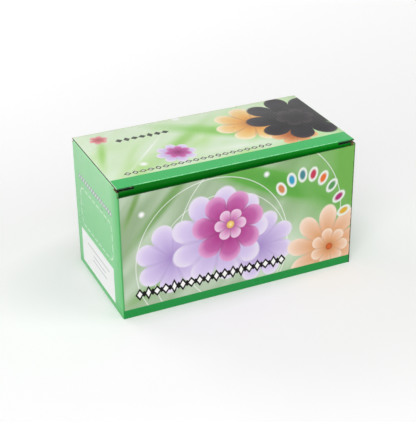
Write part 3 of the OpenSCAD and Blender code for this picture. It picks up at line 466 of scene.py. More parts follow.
# Four more rows of edges keep the walls' faces from being long and thin.
for height in (0.02, 0.045, 0.07, 0.095):
    cut_across((0, 0, height), (0, 0, 1))
bpy.ops.mesh.select_all(action="SELECT")
bpy.ops.mesh.remove_doubles(threshold=1e-6)
modify(sleeve, "SOLIDIFY", thickness=board_t, offset=-1, use_even_offset=True)
round_edges(sleeve, board_edge)
for made in (front_print, left_print, right_print, back_print, kraft, raw_edge, crushed_edge):
    sleeve.data.materials.append(made)
on_front, on_left, on_right, on_back, on_inside, on_cut, on_crushed = range(7)
for face in sleeve.data.polygons:
    at, way = face.center, face.normal
    outside = (abs(at.x) > carton_w / 2 - board_t * 0.6 or abs(at.y) > carton_d / 2 - board_t * 0.6)
    if abs(way.z) > 0.6:
        front_top = at.y < -carton_d / 2 + board_t and at.z > front_h - 0.001
        face.material_index = on_crushed if front_top else on_cut
    elif not outside or at.x * way.x < -0.7 * abs(at.x) or at.y * way.y < -0.7 * abs(at.y):
        face.material_index = on_inside
    elif at.x > carton_w / 2 - 0.0003 and at.y < -carton_d / 2 + board_t:
        face.material_index = on_cut
    elif abs(way.y) >= abs(way.x):
        face.material_index = on_front if way.y < 0 else on_back
    else:
        face.material_index = on_left if way.x < 0 else on_right
finish_piece(sleeve, "root", "front_panel", "back_panel", "left_panel", "right_panel")

# ---- Lid ----
# Top panel of the same board. Its back edge is creased to the back panel and its front edge to
# the tuck flap, and its two short edges are die-cut and crushed thin.

lid_front, fold_back, fold_front = -0.0542, 0.0545, -0.05235

# Top: a paler ground with bright leaves, amber and charcoal blooms to the right, small lilac and
# coral ones to the left, and two rows of lozenges.
top_print, tree, flat = start_board("gloss coated printed board, top", 0, 1)
axes = add(tree, "SeparateXYZ", {0: flat}).node.outputs
ink = leafy_ground(tree, flat, 48, "#b5df88", "#cfe8ba", "#dbedd2", (0.020, 0.110), 0.5, "#a9dc7c")
# Painted light: the ground is laid paler towards the back, which makes up for the lamps falling off
# there.
ink = tint(tree, ink, axes[1], (-0.01, 0.055), (0, 0.5), "#e9f6e2")
ink = oval(tree, flat, ink, (-0.030, 0.004), (0.052, 0.0075), 40,
           [(0.0, "#93cb5c"), (1.0, "#acd985")], soft=0.5, share=0.85)
ink = oval(tree, flat, ink, (0.018, 0.008), (0.058, 0.010), -34,
           [(0.0, "#7fc64a"), (1.0, "#9ad56c")], soft=0.45, share=0.9)
ink = oval(tree, flat, ink, (-0.098, 0.012), (0.030, 0.004), 72,
           [(0.0, "#98d060"), (1.0, "#b4de8c")], soft=0.5, share=0.85)
ink = oval(tree, flat, ink, (-0.058, 0.004), (0.030, 0.0012), 48,
           [(0.0, "#ffffff"), (1.0, "#e6f3dc")], soft=0.8, share=0.8)
ink = oval(tree, flat, ink, (0.014, -0.024), (0.050, 0.010), -6,
           [(0.0, "#eef6ea"), (1.0, "#d6eacb")], soft=0.9, share=0.8)
for centre in ((-0.013, 0.0525), (-0.073, -0.021)):
    ink = oval(tree, flat, ink, centre, (0.0028, 0.0028), 0, white, soft=0.7)
amber = [(0.0, "#b4602c"), (1.0, "#fdf0d2"), (0.42, "#ecae58"), (0.8, "#f6d28e")]
charcoal = [(0.0, "#0c0b0e"), (1.0, "#3d363b"), (0.5, "#1b191d"), (0.85, "#27242a")]
ink = blossom(tree, flat, ink, (0.046, 0.014), 0.036, 8, 8, amber)
ink = blossom(tree, flat, ink, (0.068, -0.022), 0.021, 7, 30,
              [(0.0, "#8f4a22"), (1.0, "#f2c08c"), (0.5, "#cf7f48")])
ink = blossom(tree, flat, ink, (0.086, 0.010), 0.046, 9, 17, charcoal)
ink = blossom(tree, flat, ink, (0.086, 0.010), 0.018, 6, 5,
              [(0.0, "#0c0a0e"), (1.0, "#3d3539"), (0.6, "#1f1b20")])
ink = blossom(tree, flat, ink, (-0.040, -0.013), 0.018, 8, 5, lilac)
ink = blossom(tree, flat, ink, (-0.038, -0.012), 0.012, 7, 22, magenta)
ink = blossom(tree, flat, ink, (-0.091, 0.040), 0.0085, 6, 14,
              [(0.0, "#b04a52"), (1.0, "#f0b4b4"), (0.5, "#d66f72")])
ink = bead_row(tree, flat, ink, (-0.079, 0.031), 0.0072, 7, 0.0085, "#101410", "#232a23",
               share=0.95, stout=1.2)
ink = bead_row(tree, flat, ink, (-0.095, -0.0325), 0.0068, 20, 0.0068, "#171b13", "#d5ded0",
               share=0.95, stout=1.25)
# The green band along the front bows a little, and a pale line along the short edges is painted
# highlight.
bow = add(tree, "Math", {0: axes[0], 1: 0.030}, operation="ADD")
bow = add(tree, "Math", {0: bow, 1: 2.0}, operation="POWER")
bow = add(tree, "Math", {0: bow, 1: -0.1, 2: axes[1]}, operation="MULTIPLY_ADD")
ink = tint(tree, ink, bow, (-0.0392, -0.0388), (1, 0), "#48bb69")
# Painted highlight: the last 0.7 mm of each short edge goes pale.
end = add(tree, "Math", {0: axes[0]}, operation="ABSOLUTE")
ink = tint(tree, ink, end, (0.1090, 0.1094), (0, 1), "#dcefd6")
surface(tree, {"Base Color": ink})


def flap_board(piece, outer, outer_way, cut=raw_edge):
    """Rounds a board's cut edges and gives it its print, its kraft back and the look of its cut."""
    round_edges(piece, board_edge)
    for made in (outer, kraft, cut):
        piece.data.materials.append(made)
    for face in piece.data.polygons:
        along = face.normal.dot(Vector(outer_way))
        face.material_index = 0 if along > 0.6 else 1 if along < -0.6 else 2


lid_half, slit_x = carton_w / 2 - 0.0003, 0.0944
lid = block("carton_lid", (-lid_half, fold_front, carton_h - board_t), (lid_half, fold_back, carton_h))
for x in (-slit_x, slit_x):
    cut_across((x, 0, 0), (1, 0, 0))
choose("faces", lambda at, way: way.y < -0.9 and abs(at.x) > slit_x)
bpy.ops.mesh.extrude_region_move(TRANSFORM_OT_translate={"value": (0, lid_front - fold_front, 0)})
choose("edges", lambda at, way: abs(way.x) > 0.9 and at.y < lid_front + same and at.z > carton_h - same)
bpy.ops.mesh.bevel(offset=0.0008, segments=4, profile=0.5)
flap_board(lid, top_print, (0, 0, 1), crushed_edge)
finish_piece(lid, "lid", "lid_panel")

# ---- Tuck flap ----
# The lid's front tongue, printed dark green, leaning into the carton behind the front panel. Its
# lower corners are rounded so that it finds its way in, and a slit at each end locks it.

tuck_lean = math.radians(12)
tuck_half, tuck_len, tuck_r = 0.1074, 0.019, 0.009
fold_end, slit_end = 0.00185, 0.0037

# Full dark green ink under the gloss coat, cloudy where it was laid on thin, and lighter to the right.
green_print, tree, flat = start_board("gloss coated printed board, green", 0, 2)
mottle = add(tree, "TexNoise", {"Vector": flat, "Scale": 1 / 0.017, "Detail": 3.0})
ink = add(tree, "ValToRGB", {0: mottle}, stops=[(0.35, "#006e10"), (0.65, "#007612")])
ink = tint(tree, ink, add(tree, "SeparateXYZ", {0: flat}), (0.02, 0.10), (0, 1), "#008a17")
surface(tree, {"Base Color": ink})

tuck = block("carton_tuck_flap", (-tuck_half, 0, -tuck_len), (tuck_half, board_t, -slit_end))
for x in (-slit_x, slit_x):
    cut_across((x, 0, 0), (1, 0, 0))
choose("faces", lambda at, way: way.z > 0.9 and abs(at.x) < slit_x)
bpy.ops.mesh.extrude_region_move(TRANSFORM_OT_translate={"value": (0, 0, slit_end - fold_end)})
choose("edges", lambda at, way: abs(way.y) > 0.9 and at.z < same - tuck_len
       and abs(at.x) > tuck_half - same)
bpy.ops.mesh.bevel(offset=tuck_r, segments=10, profile=0.5)
bpy.ops.mesh.select_all(action="SELECT")
bpy.ops.transform.rotate(value=-tuck_lean, orient_axis="X", center_override=(0, 0, 0))
bpy.ops.transform.translate(value=(0, lid_front, carton_h))
flap_board(tuck, green_print, (0, -math.cos(tuck_lean), -math.sin(tuck_lean)), crushed_edge)
finish_piece(tuck, "tuck", "tuck_flap")

# ---- Dust flaps ----
# Two flaps creased to the side panels that lie under the lid. Their back edges are cut at 45
# degrees and their free front corners are snipped, so that the lid and tuck flap clear them.

flap_top, dust_front, dust_back, dust_len = 0.1212, -0.048, 0.053, 0.050

for side, name in ((-1, "left"), (1, "right")):
    near, far = side * (carton_w / 2 - board_t), side * (carton_w / 2 - dust_len)
    flap = block("carton_dust_flap_" + name, (min(near, far), dust_front, flap_top - board_t),
                 (max(near, far), dust_back, flap_top))
    choose("edges", lambda at, way: abs(way.z) > 0.9 and abs(at.x - far) < same and at.y < 0)
    bpy.ops.mesh.bevel(offset=0.005, segments=1)
    choose("verts", lambda at, way: abs(at.x - far) < same and at.y > 0)
    bpy.ops.transform.translate(value=(0, -(dust_len - board_t), 0))
    flap_board(flap, left_print if side < 0 else right_print, (0, 0, 1))
    finish_piece(flap, "dust_" + name, "dust_flap_" + name)

# ---- Folds ----
# Creases of the one sheet: a quarter turn of the board's own thickness, printed liner outside,
# between the two panels it joins.


def fold(name, low, high, way, centre, axis, turn, step, prints, highlight_and_wear=None):
    """A crease swept from the end face (low to high) of the first panel, bending along step. Where
    highlight_and_wear is given, a pale line 14 to 38 degrees from upright is painted with it: a painted
    highlight where the crease catches the light, and the cracks in its coating."""
    piece = block(name, low, high)
    choose("faces", lambda at, normal: normal.dot(Vector(way)) < 0.9)
    bpy.ops.mesh.delete(type="FACE")
    bpy.ops.mesh.select_all(action="SELECT")
    bpy.ops.mesh.spin(steps=12, angle=-math.radians(turn), center=centre, axis=axis)
    bpy.ops.mesh.select_all(action="SELECT")
    bpy.ops.mesh.normals_make_consistent(inside=False)
    bpy.ops.object.mode_set(mode="OBJECT")
    # Its slots are the first panel's print, the second's, the kraft inside and the pale line of painted
    # highlight and coating cracks.
    for made in (*prints, kraft, highlight_and_wear or kraft):
        piece.data.materials.append(made)
    along = Vector(axis)
    for face in piece.data.polygons:
        arm = face.center - Vector(centre)
        arm -= along * arm.dot(along)
        outer = arm.length > board_t * 0.9 and face.normal.dot(arm) > 0
        face.material_index = 2 if not outer else int(arm.dot(Vector(step)) > 0)
        # The pale line, 14 to 38 degrees from upright, is a painted highlight and the coating's cracks.
        if highlight_and_wear and outer and 14 < math.degrees(Vector((0, 0, 1)).angle(arm)) < 38:
            face.material_index = 3
    finish_piece(piece, None)
    middle, step = Vector(centre), Vector(step).normalized() * 0.00028
    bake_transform(piece)


# A pale line on the tuck flap's crease, in patches of about 2 mm: a painted highlight where the
# crease catches the light, and cracks in the coating.
crease_highlight_and_cracks, tree, flat = start_board("painted highlight and cracks in the coating on a crease", 0, 2)
pale_patches = add(tree, "TexNoise", {"Vector": flat, "Scale": 1 / 0.002, "Detail": 3.0})
surface(tree, {"Base Color": add(tree, "ValToRGB", {0: pale_patches},
               stops=[(0.35, "#79cf92"), (0.65, "#c4f0cf")])})

# A crease's inner face stands off its centre, so that the liner isn't folded to a point. The step of
# each is its direction half way round the turn.
off_centre, stub = 0.0004, 0.001
fold("carton_fold_lid", (-lid_half, fold_back + off_centre, back_h - stub),
     (lid_half, carton_d / 2, back_h), way=(0, 0, 1), centre=(0, fold_back, back_h), axis=(1, 0, 0),
     turn=90, step=(0, -1, 1), prints=(back_print, top_print))
fold("carton_fold_tuck", (-slit_x, fold_front, carton_h - board_t + off_centre),
     (slit_x, fold_front + stub, carton_h), way=(0, -1, 0), centre=(0, fold_front, carton_h - board_t),
     axis=(1, 0, 0), turn=102, step=(0, -0.629, -0.777),
     prints=(top_print, green_print), highlight_and_wear=crease_highlight_and_cracks)
for side, name in ((-1, "left"), (1, "right")):
    outer, inner = side * carton_w / 2, side * (carton_w / 2 - board_t + off_centre)
    fold("carton_fold_dust_" + name, (min(outer, inner), dust_front, side_h - stub),
         (max(outer, inner), dust_back, side_h), way=(0, 0, 1),
         centre=(side * (carton_w / 2 - board_t), 0, side_h), axis=(0, 1, 0), turn=-side * 90,
         step=(-side, 0, 1),
         prints=(left_print, left_print) if side < 0 else (right_print, right_print))

# ---- Label ----
# A plain white self-adhesive paper label on the left panel. It is laser printed with three thin
# grey rules, which stand for its fine print.

# Uncoated white paper gives the eye a dull, even white, a little greyer than the floor.
label_paper, tree, where = start_material("uncoated white label paper")
axes = add(tree, "SeparateXYZ", {0: where}).node.outputs
fibre = add(tree, "TexNoise", {"Vector": where, "Scale": 1 / 0.0011, "Detail": 3.0})
ink = add(tree, "ValToRGB", {0: fibre}, stops=[(0.3, "#eeeeee"), (0.7, "#fafafa")])
for height, start, end in ((0.0305, -0.026, 0.030), (0.0240, -0.016, 0.016), (0.0190, -0.018, 0.018)):
    off = add(tree, "Math", {0: axes[2], 1: height}, operation="SUBTRACT")
    off = add(tree, "Math", {0: off}, operation="ABSOLUTE")
    line = add(tree, "MapRange", {0: off, 1: 0.0004, 2: 0.0009, 3: 0.55, 4: 0})
    begun = add(tree, "Math", {0: axes[1], 1: start}, operation="GREATER_THAN")
    going_on = add(tree, "Math", {0: axes[1], 1: end}, operation="LESS_THAN")
    along = add(tree, "Math", {0: begun, 1: going_on}, operation="MULTIPLY")
    share = add(tree, "Math", {0: line, 1: along}, operation="MULTIPLY")
    ink = add(tree, "Mix", {0: share, 6: ink, 7: linear("#9a9c9e")}, out=2, data_type="RGBA")
bump = add(tree, "Bump", {"Strength": 0.08, "Distance": 0.0001, "Height": fibre})
surface(tree, {"Base Color": ink, "Roughness": 0.75, "Normal": bump})


def dress(node, finish):
    """A new material for a CAD node that keeps its mesh."""
    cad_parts[node].data.materials.clear()
    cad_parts[node].data.materials.append(finish)


dress("side_label", label_paper)

# ---- Carton bottom and insert ----
# The bottom panel is plain green. The glue flap, the inner bottom flaps and the folded insert are
# bare kraft board, and the insert holds the machine up on its deck, between two cheeks.

dress("bottom_panel", green_print)
for node in ("glue_flap", "bottom_tuck_flap", "bottom_dust_flap_left", "bottom_dust_flap_right"):
    dress(node, kraft)


def soften(node, name, body, width, finish, segments=2, angle=40, shade=40):
    """A merged copy of a CAD part with its sharp moulded or machined edges rounded."""
    piece = bpy.data.objects.new(name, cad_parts[node].data.copy())
    bpy.context.scene.collection.objects.link(piece)
    pick(piece)
    piece.data.materials.clear()
    piece.data.materials.append(finish)
    bpy.ops.object.mode_set(mode="EDIT")
    bpy.ops.mesh.select_all(action="SELECT")
    bpy.ops.mesh.remove_doubles(threshold=2e-6)
    bpy.ops.mesh.dissolve_limited(angle_limit=math.radians(1.0))
    round_edges(piece, width, segments, angle, miter_outer="MITER_ARC")
    finish_piece(piece, body, node, angle=shade)
    modify(piece, "WEIGHTED_NORMAL", keep_sharp=True)


soften("insert_tray", "carton_insert", "root", 0.0006, kraft)

# ---- Base of the machine ----
# Injection moulded ABS in a pale lilac with a fine spark-eroded texture, two shells clipped and
# screwed together from below. The hump over the finger trough is the same plastic.


def moulded(name, colour, deep, rough, texture=0.10, coat=0.0):
    """Injection moulded plastic: an even colour with faint clouds 28 mm across, and spark-eroded
    grit of 0.33 mm, drawn coarser than the real 0.05 mm so that it shows."""
    made, tree, where = start_material(name)
    cloud = add(tree, "TexNoise", {"Vector": where, "Scale": 1 / 0.028, "Detail": 3.0})
    grit = add(tree, "TexNoise", {"Vector": where, "Scale": 1 / 0.00033, "Detail": 1.0})
    surface(tree, {
        "Base Color": add(tree, "ValToRGB", {0: cloud}, stops=[(0.3, deep), (0.7, colour)]),
        "Roughness": add(tree, "MapRange", {0: cloud, 1: 0.3, 2: 0.7, 3: rough * 0.9, 4: rough * 1.1}),
        "Normal": add(tree, "Bump", {"Strength": texture, "Distance": 0.0002, "Height": grit}),
        "IOR": 1.53, "Subsurface Weight": 0.05, "Subsurface Radius": (0.002, 0.001, 0.002),
        "Subsurface Scale": 0.5, "Coat Weight": coat, "Coat Roughness": 0.08})
    return made


# Lilac and violet ABS look like satin, with light soaking a little into thin walls. The pale one is
# the same plastic with more white in it.
lilac_abs = moulded("moulded lilac ABS", "#cbb6e2", "#c2abdb", 0.38)
violet_abs = moulded("moulded violet ABS", "#b694d0", "#ad8ac9", 0.36)
pale_abs = moulded("moulded pale lilac ABS", "#e6dcf0", "#dfd3ec", 0.34)
soften("base_shell", "machine_base_shell", "machine", 0.0007, lilac_abs, segments=3)
soften("base_cover", "machine_base_cover", "machine", 0.0004, violet_abs)
soften("hump_shell", "machine_hump", "machine", 0.0006, lilac_abs, segments=3, angle=50)

# Rubber feet, turned discs with a rounded tread edge and a shallow hollow, pressed on the cover.
# Nitrile rubber gives the eye a matt charcoal with grey dust in its pores.
rubber, tree, where = start_material("black nitrile rubber")
dust = add(tree, "TexNoise", {"Vector": where, "Scale": 1 / 0.0038, "Detail": 4.0})
grey = add(tree, "ValToRGB", {0: dust}, stops=[(0.4, "#29292c"), (0.75, "#434347")])
bump = add(tree, "Bump", {"Strength": 0.2, "Distance": 0.0002, "Height": dust})
surface(tree, {"Base Color": grey, "Roughness": 0.7, "Normal": bump})


def disc(name, middle, radius, height, sides=48):
    """A new upright disc standing on a point, ready to be shaped in edit mode."""
    bpy.ops.object.select_all(action="DESELECT")
    bpy.ops.mesh.primitive_cylinder_add(vertices=sides, radius=radius, depth=height)
    piece = bpy.context.object
    piece.name = name
    piece.location = (middle[0], middle[1], middle[2] + height / 2)
    bpy.ops.object.transform_apply(location=True, rotation=True, scale=True)
    bpy.ops.object.mode_set(mode="EDIT")
    return piece


def join(name, pieces):
    """Joins finished meshes into one piece."""
    pick(*pieces)
    bpy.ops.object.join()
    pieces[0].name = name
    return pieces[0]


low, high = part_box("rubber_feet")
foot_r, foot_h = 0.006, high.z - low.z
feet = []
for x in (low.x + foot_r, high.x - foot_r):
    for y in (low.y + foot_r, high.y - foot_r):
        foot = disc("foot", (x, y, low.z), foot_r, foot_h)
        choose("faces", lambda at, way: way.z < -0.9)
        bpy.ops.mesh.inset(thickness=0.0022)
        bpy.ops.transform.translate(value=(0, 0, 0.0008))
        round_edges(foot, 0.0004, 3)
        foot.data.materials.append(rubber)
        feet.append(foot)
finish_piece(join("machine_rubber_feet", feet), "machine", "rubber_feet")

# Zinc plated pan head screws with a cross recess, which hold the cover from below. The plating
# gives the eye a bright blue-grey with a spangle of about 1 mm.
zinc, tree, where = start_material("zinc plated steel")
spangle = add(tree, "TexVoronoi", {"Vector": where, "Scale": 1 / 0.0011}, out="Color")
grey = add(tree, "ValToRGB", {0: spangle}, stops=[(0.2, "#b3b7bb"), (0.8, "#c8ccd0")])
surface(tree, {"Base Color": grey, "Metallic": 1.0, "Roughness": 0.32})

shank_r, head_r, head_t = 0.0014, 0.0028, 0.001


def screw(name, tip, way, length):
    """A pan head screw pointing along way, with its head's outer face at tip."""
    piece = disc(name, (0, 0, 0), head_r, head_t, sides=32)
    choose("faces", lambda at, normal: normal.z < -0.9)
    bpy.ops.mesh.inset(thickness=head_r - shank_r)
    bpy.ops.mesh.extrude_region_move(TRANSFORM_OT_translate={"value": (0, 0, head_t - length)})
    round_edges(piece, head_t * 0.35, 3, 60)
    for turn in (0, 90):
        bar = block(name + "_slot", (-head_r * 0.62, -head_r * 0.12, head_t * 0.45),
                    (head_r * 0.62, head_r * 0.12, head_t * 2))
        bpy.ops.mesh.select_all(action="SELECT")
        bpy.ops.transform.rotate(value=math.radians(turn), orient_axis="Z", center_override=(0, 0, 0))
        modify(piece, "BOOLEAN", object=bar, operation="DIFFERENCE", solver="EXACT")
        bpy.data.objects.remove(bar)
    piece.data.transform(Matrix.Translation(Vector(tip)) @ (-Vector(way)).to_track_quat("Z", "Y")
                         .to_matrix().to_4x4() @ Matrix.Translation((0, 0, -head_t)))
    piece.data.materials.append(zinc)
    return piece


low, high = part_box("cover_screws")
screws = [screw("cover_screw", (x, y, low.z), (0, 0, 1), high.z - low.z)
          for x in (low.x + head_r, high.x - head_r) for y in (low.y + head_r, high.y - head_r)]
finish_piece(join("machine_cover_screws", screws), "machine", "cover_screws")

# Bow-tie grip moulded on the front, swelling to two round ends, softened all over.
low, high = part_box("front_grip")
grip_r, grip_mid = (high.z - low.z) / 2, (low + high) / 2
grip = block("machine_front_grip", (low.x + grip_r, low.y, grip_mid.z - grip_r * 0.5),
             (high.x - grip_r, high.y, grip_mid.z + grip_r * 0.5))
round_edges(grip, 0.0005, 3)
grip.data.materials.append(violet_abs)
ends = []
for x in (low.x + grip_r, high.x - grip_r):
    end = disc("grip_end", (0, 0, 0), grip_r, high.y - low.y)
    choose("faces", lambda at, way: way.z > 0.9)
    bpy.ops.mesh.inset(thickness=grip_r * 0.35)
    bpy.ops.transform.translate(value=(0, 0, -0.0004))
    round_edges(end, 0.0004, 3)
    end.data.transform(Matrix.Translation((x, high.y, grip_mid.z))
                       @ Matrix.Rotation(math.pi / 2, 4, "X"))
    end.data.materials.append(violet_abs)
    ends.append(end)
finish_piece(join("machine_front_grip", [grip] + ends), "machine", "front_grip")

# ---- Pattern plate ----
# A spring-hard stainless plate, brushed along its length and etched with six rosettes that hold
# the lacquer. It lies on a pale bed, under a lipped rail at the back and a latch at the front.

soften("plate_bed", "plate_bed_tray", "machine", 0.0004, pale_abs)
soften("plate_rail", "plate_rail_lip", "machine", 0.0003, violet_abs)


def brushed(name, colour, stretch, rough):
    """Bright metal with fine lines from brushing or grinding, stretched along the way it was worked.
    The numbers of stretch are how many lines there are to a metre."""
    made, tree, where = start_material(name)
    lie = add(tree, "Mapping", {"Vector": where, "Scale": stretch})
    line = add(tree, "TexNoise", {"Vector": lie, "Scale": 1.0, "Detail": 3.0})
    surface(tree, {
        "Base Color": linear(colour), "Metallic": 1.0,
        "Roughness": add(tree, "MapRange", {0: line, 1: 0.3, 2: 0.7, 3: rough * 0.75, 4: rough * 1.3}),
        "Normal": add(tree, "Bump", {"Strength": 0.12, "Distance": 0.0001, "Height": line})})
    return made


# Brushed stainless steel spreads its highlight across the brush lines, 0.4 mm apart and 17 mm long.
# The etched pattern is 0.1 mm deep or more and holds dried violet lacquer, which isn't metallic.
steel = "#c6cace"
etched = brushed("brushed stainless steel, etched", steel, (60, 2500, 2500), 0.28)
tree = etched.node_tree
axes = add(tree, "SeparateXYZ", {0: tree.nodes["Texture Coordinate"].outputs["Object"]}).node.outputs
plate_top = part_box("pattern_plate")[1].z
sunk = add(tree, "MapRange", {0: axes[2], 1: plate_top - 0.00016, 2: plate_top - 0.00004, 3: 1, 4: 0})
inked = add(tree, "Mix", {0: sunk, 6: linear(steel), 7: linear("#6a2a62")}, out=2, data_type="RGBA")
surface(tree, {"Base Color": inked,
               "Metallic": add(tree, "Math", {0: 1.0, 1: sunk}, operation="SUBTRACT")})
soften("pattern_plate", "plate_etched_steel", "machine", 0.00005, etched, segments=1, angle=60)

# Latch knob: a moulded knob with twelve finger flutes and a tongue, turning on the bed's post.
low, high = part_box("latch_knob")
knob_r, knob_h = 0.005, high.z - low.z
knob_x, knob_y = low.x + knob_r, low.y + knob_r
grip_rise, knob_sides, flute_sides = 0.0008, 72, 6
knob = disc("latch_knob_fluted", (knob_x, knob_y, low.z), knob_r, knob_h - grip_rise, sides=knob_sides)
choose("verts", lambda at, way: at.z > low.z + 0.0017 and round(
    math.degrees(math.atan2(at.y - knob_y, at.x - knob_x)) * knob_sides / 360) % flute_sides < 2)
bpy.ops.transform.resize(value=(0.92, 0.92, 1), center_override=(knob_x, knob_y, 0))
choose("faces", lambda at, way: way.z > 0.9)
bpy.ops.mesh.inset(thickness=0.0009)
bpy.ops.transform.translate(value=(0, 0, grip_rise))
round_edges(knob, 0.0002, angle=35)
tongue = block("latch_tongue", (knob_x - knob_r / 2, knob_y, low.z),
               (knob_x + knob_r / 2, high.y, low.z + 0.0018))
choose("edges", lambda at, way: abs(way.z) > 0.9 and at.y > high.y - same)
bpy.ops.mesh.bevel(offset=knob_r / 2 * 0.98, segments=8)
round_edges(tongue, 0.0003)
rib = block("latch_rib", (knob_x - 0.0008, knob_y - knob_r * 0.75, high.z - 0.0012),
            (knob_x + 0.0008, knob_y + knob_r * 0.75, high.z))
round_edges(rib, 0.0003, 3)
for piece in (knob, tongue, rib):
    piece.data.materials.append(violet_abs)
finish_piece(join("latch_knob_fluted", [knob, tongue, rib]), "latch", "latch_knob")

# ---- Guide rods and bumpers ----
# Two ground and polished steel rods, chamfered at the ends, on which the carriage runs. Black
# rubber rings near their ends are its stops.

# Ground steel is nearly a mirror, with faint lines along its length.
ground_steel = brushed("ground steel rod", "#c9cdd1", (40, 1800, 1800), 0.14)
soften("guide_rods", "rods_ground_steel", "machine", 0.0005, ground_steel, angle=50)
soften("end_bumpers", "rods_rubber_bumpers", "machine", 0.0006, rubber, segments=3, angle=50)

# ---- Finger rest ----
# A sprung platform in the trough. Its pad is soft pink silicone, hollowed for the fingertip, with
# small ribs that stop the finger sliding.

soften("finger_platform", "rest_platform", "finger_rest", 0.0003, pale_abs, angle=50)
# Silicone gives the eye a soft dull pink that glows a little where light enters its edges.
silicone = moulded("soft pink silicone", "#e684b4", "#dd76a8", 0.5, texture=0.05)
surface(silicone.node_tree, {"Subsurface Weight": 0.25})
low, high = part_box("finger_pad")
pad_len, pad_w = high.x - low.x, high.y - low.y
cells_long, cells_wide, hollow, rib_dip = 24, 12, 0.0019, 0.00035
pad = block("rest_soft_pad", low, high)
bpy.ops.mesh.select_all(action="SELECT")
bpy.ops.mesh.subdivide(number_cuts=1)
for n in range(1, cells_long):
    cut_across((low.x + pad_len * n / cells_long, 0, 0), (1, 0, 0))
for n in range(1, cells_wide):
    cut_across((0, low.y + pad_w * n / cells_wide, 0), (0, 1, 0))
for n in range(cells_wide + 1):
    y = low.y + pad_w * n / cells_wide
    sink = (1 - (y / (pad_w / 2)) ** 2) * hollow
    choose("verts", lambda at, way: abs(at.y - y) < same and at.z > high.z - same)
    bpy.ops.transform.translate(value=(0, 0, -sink))
for n in range(2, cells_long - 1, 2):
    x = low.x + pad_len * n / cells_long
    choose("verts", lambda at, way: abs(at.x - x) < same and abs(at.y) < pad_w / 2 * 0.7
           and at.z > low.z + 0.0008)
    bpy.ops.transform.translate(value=(0, 0, -rib_dip))
modify(pad, "SUBSURF", levels=1, render_levels=1)
pad.data.materials.append(silicone)
finish_piece(pad, "finger_rest", "finger_pad", angle=60)

# ---- Springs ----
# Cold wound from spring steel wire, 0.6 mm thick, and 0.7 mm in the press springs.

# Spring steel, drawn and oil tempered, looks a darker grey than plated wire, with a low shine.
spring_steel = brushed("spring steel wire", "#9da2a8", (900, 900, 900), 0.26)


def spring(name, start, end, radius, wire, turns):
    """A compression spring wound from start to end, standing for one coil of a CAD spring node."""
    start, end = Vector(start), Vector(end)
    length = (end - start).length - wire
    steps = 14
    bpy.ops.object.select_all(action="DESELECT")
    bpy.ops.mesh.primitive_circle_add(vertices=8, radius=wire / 2, fill_type="NOTHING",
                                      rotation=(math.pi / 2, 0, 0))
    piece = bpy.context.object
    piece.name = name
    bpy.ops.object.transform_apply(location=True, rotation=True, scale=True)
    piece.data.transform(Matrix.Translation((radius, 0, wire / 2)))
    modify(piece, "SCREW", angle=2 * math.pi * turns, screw_offset=length - wire / 2, iterations=1,
           steps=steps * turns, render_steps=steps * turns, axis="Z", use_merge_vertices=False)
    bpy.ops.object.mode_set(mode="EDIT")
    bpy.ops.mesh.select_all(action="SELECT")
    bpy.ops.mesh.region_to_loop()
    bpy.ops.mesh.edge_face_add()
    bpy.ops.mesh.select_all(action="SELECT")
    bpy.ops.mesh.normals_make_consistent(inside=False)
    bpy.ops.object.mode_set(mode="OBJECT")
    piece.data.transform(Matrix.Translation(start) @ (end - start).to_track_quat("Z", "Y")
                         .to_matrix().to_4x4())
    piece.data.materials.append(spring_steel)
    return piece


low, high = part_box("finger_springs")
coil_r, wire, rest_travel = (high.y - low.y) / 2, 0.0006, 0.002
for i, x in enumerate((low.x + coil_r, high.x - coil_r)):
    coil = spring("rest_spring_%d" % (i + 1), (x, 0, low.z), (x, 0, high.z), coil_r - wire / 2, wire, 5)
    finish_piece(coil, "machine", "finger_springs", angle=60)
    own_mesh(coil)

# ---- Carriage ----
# A bent and machined aluminium frame, bead blasted, that runs on the rods on sintered bronze
# bushes and carries the dome on four screws.

# Bead blasting leaves aluminium an even, dull grey. Its grit is drawn at 0.3 mm, coarser than the
# real 0.1 mm, so that it shows.
blasted, tree, where = start_material("bead blasted aluminium")
grit = add(tree, "TexNoise", {"Vector": where, "Scale": 1 / 0.00029, "Detail": 1.0})
grey = add(tree, "ValToRGB", {0: grit}, stops=[(0.3, "#84898f"), (0.7, "#9aa0a6")])
bump = add(tree, "Bump", {"Strength": 0.3, "Distance": 0.0001, "Height": grit})
surface(tree, {"Base Color": grey, "Metallic": 1.0, "Roughness": 0.48, "Normal": bump})
soften("carriage_frame", "carriage_blasted_frame", "carriage", 0.0003, blasted, angle=50)

# Sintered bronze looks like dull brass with dark pores, drawn 0.4 mm apart.
bronze, tree, where = start_material("sintered bronze")
pores = add(tree, "TexVoronoi", {"Vector": where, "Scale": 1 / 0.00038}, out="Distance")
brass = add(tree, "ValToRGB", {0: pores}, stops=[(0.05, "#5f4520"), (0.35, "#b48d4c")])
surface(tree, {"Base Color": brass, "Metallic": 1.0, "Roughness": 0.42})
soften("rod_bushes", "carriage_bronze_bushes", "carriage", 0.0003, bronze, angle=50)

# Dome: one injection moulding of magenta ABS from a polished tool, with arches over the base at both
# ends. It gives the eye a deep pink with sharp highlights under a clear skin.
magenta_abs = moulded("polished magenta ABS", "#bb4f9d", "#b24795", 0.22, texture=0.02, coat=0.4)
soften("dome_cover", "carriage_dome", "carriage", 0.0007, magenta_abs, segments=3, angle=55, shade=50)

low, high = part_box("dome_screws")
dome_half, screw_len = 0.0473, 0.0075
screws = [screw("dome_screw", (x, side * (dome_half + head_t), (low.z + high.z) / 2), (0, -side, 0),
                screw_len)
          for x in (low.x + head_r, high.x - head_r) for side in (-1, 1)]
finish_piece(join("carriage_dome_screws", screws), "carriage", "dome_screws")

# Curved grip bar: lilac ABS, screwed to the dome from inside, round in section.
soften("grip_bar", "carriage_grip_bar", "carriage", 0.0004, lilac_abs, angle=50, shade=50)

# ---- Stamping roller ----
# White silicone rubber sleeve, ground true, on a moulded core that turns on a polished steel axle
# between two spring clips.

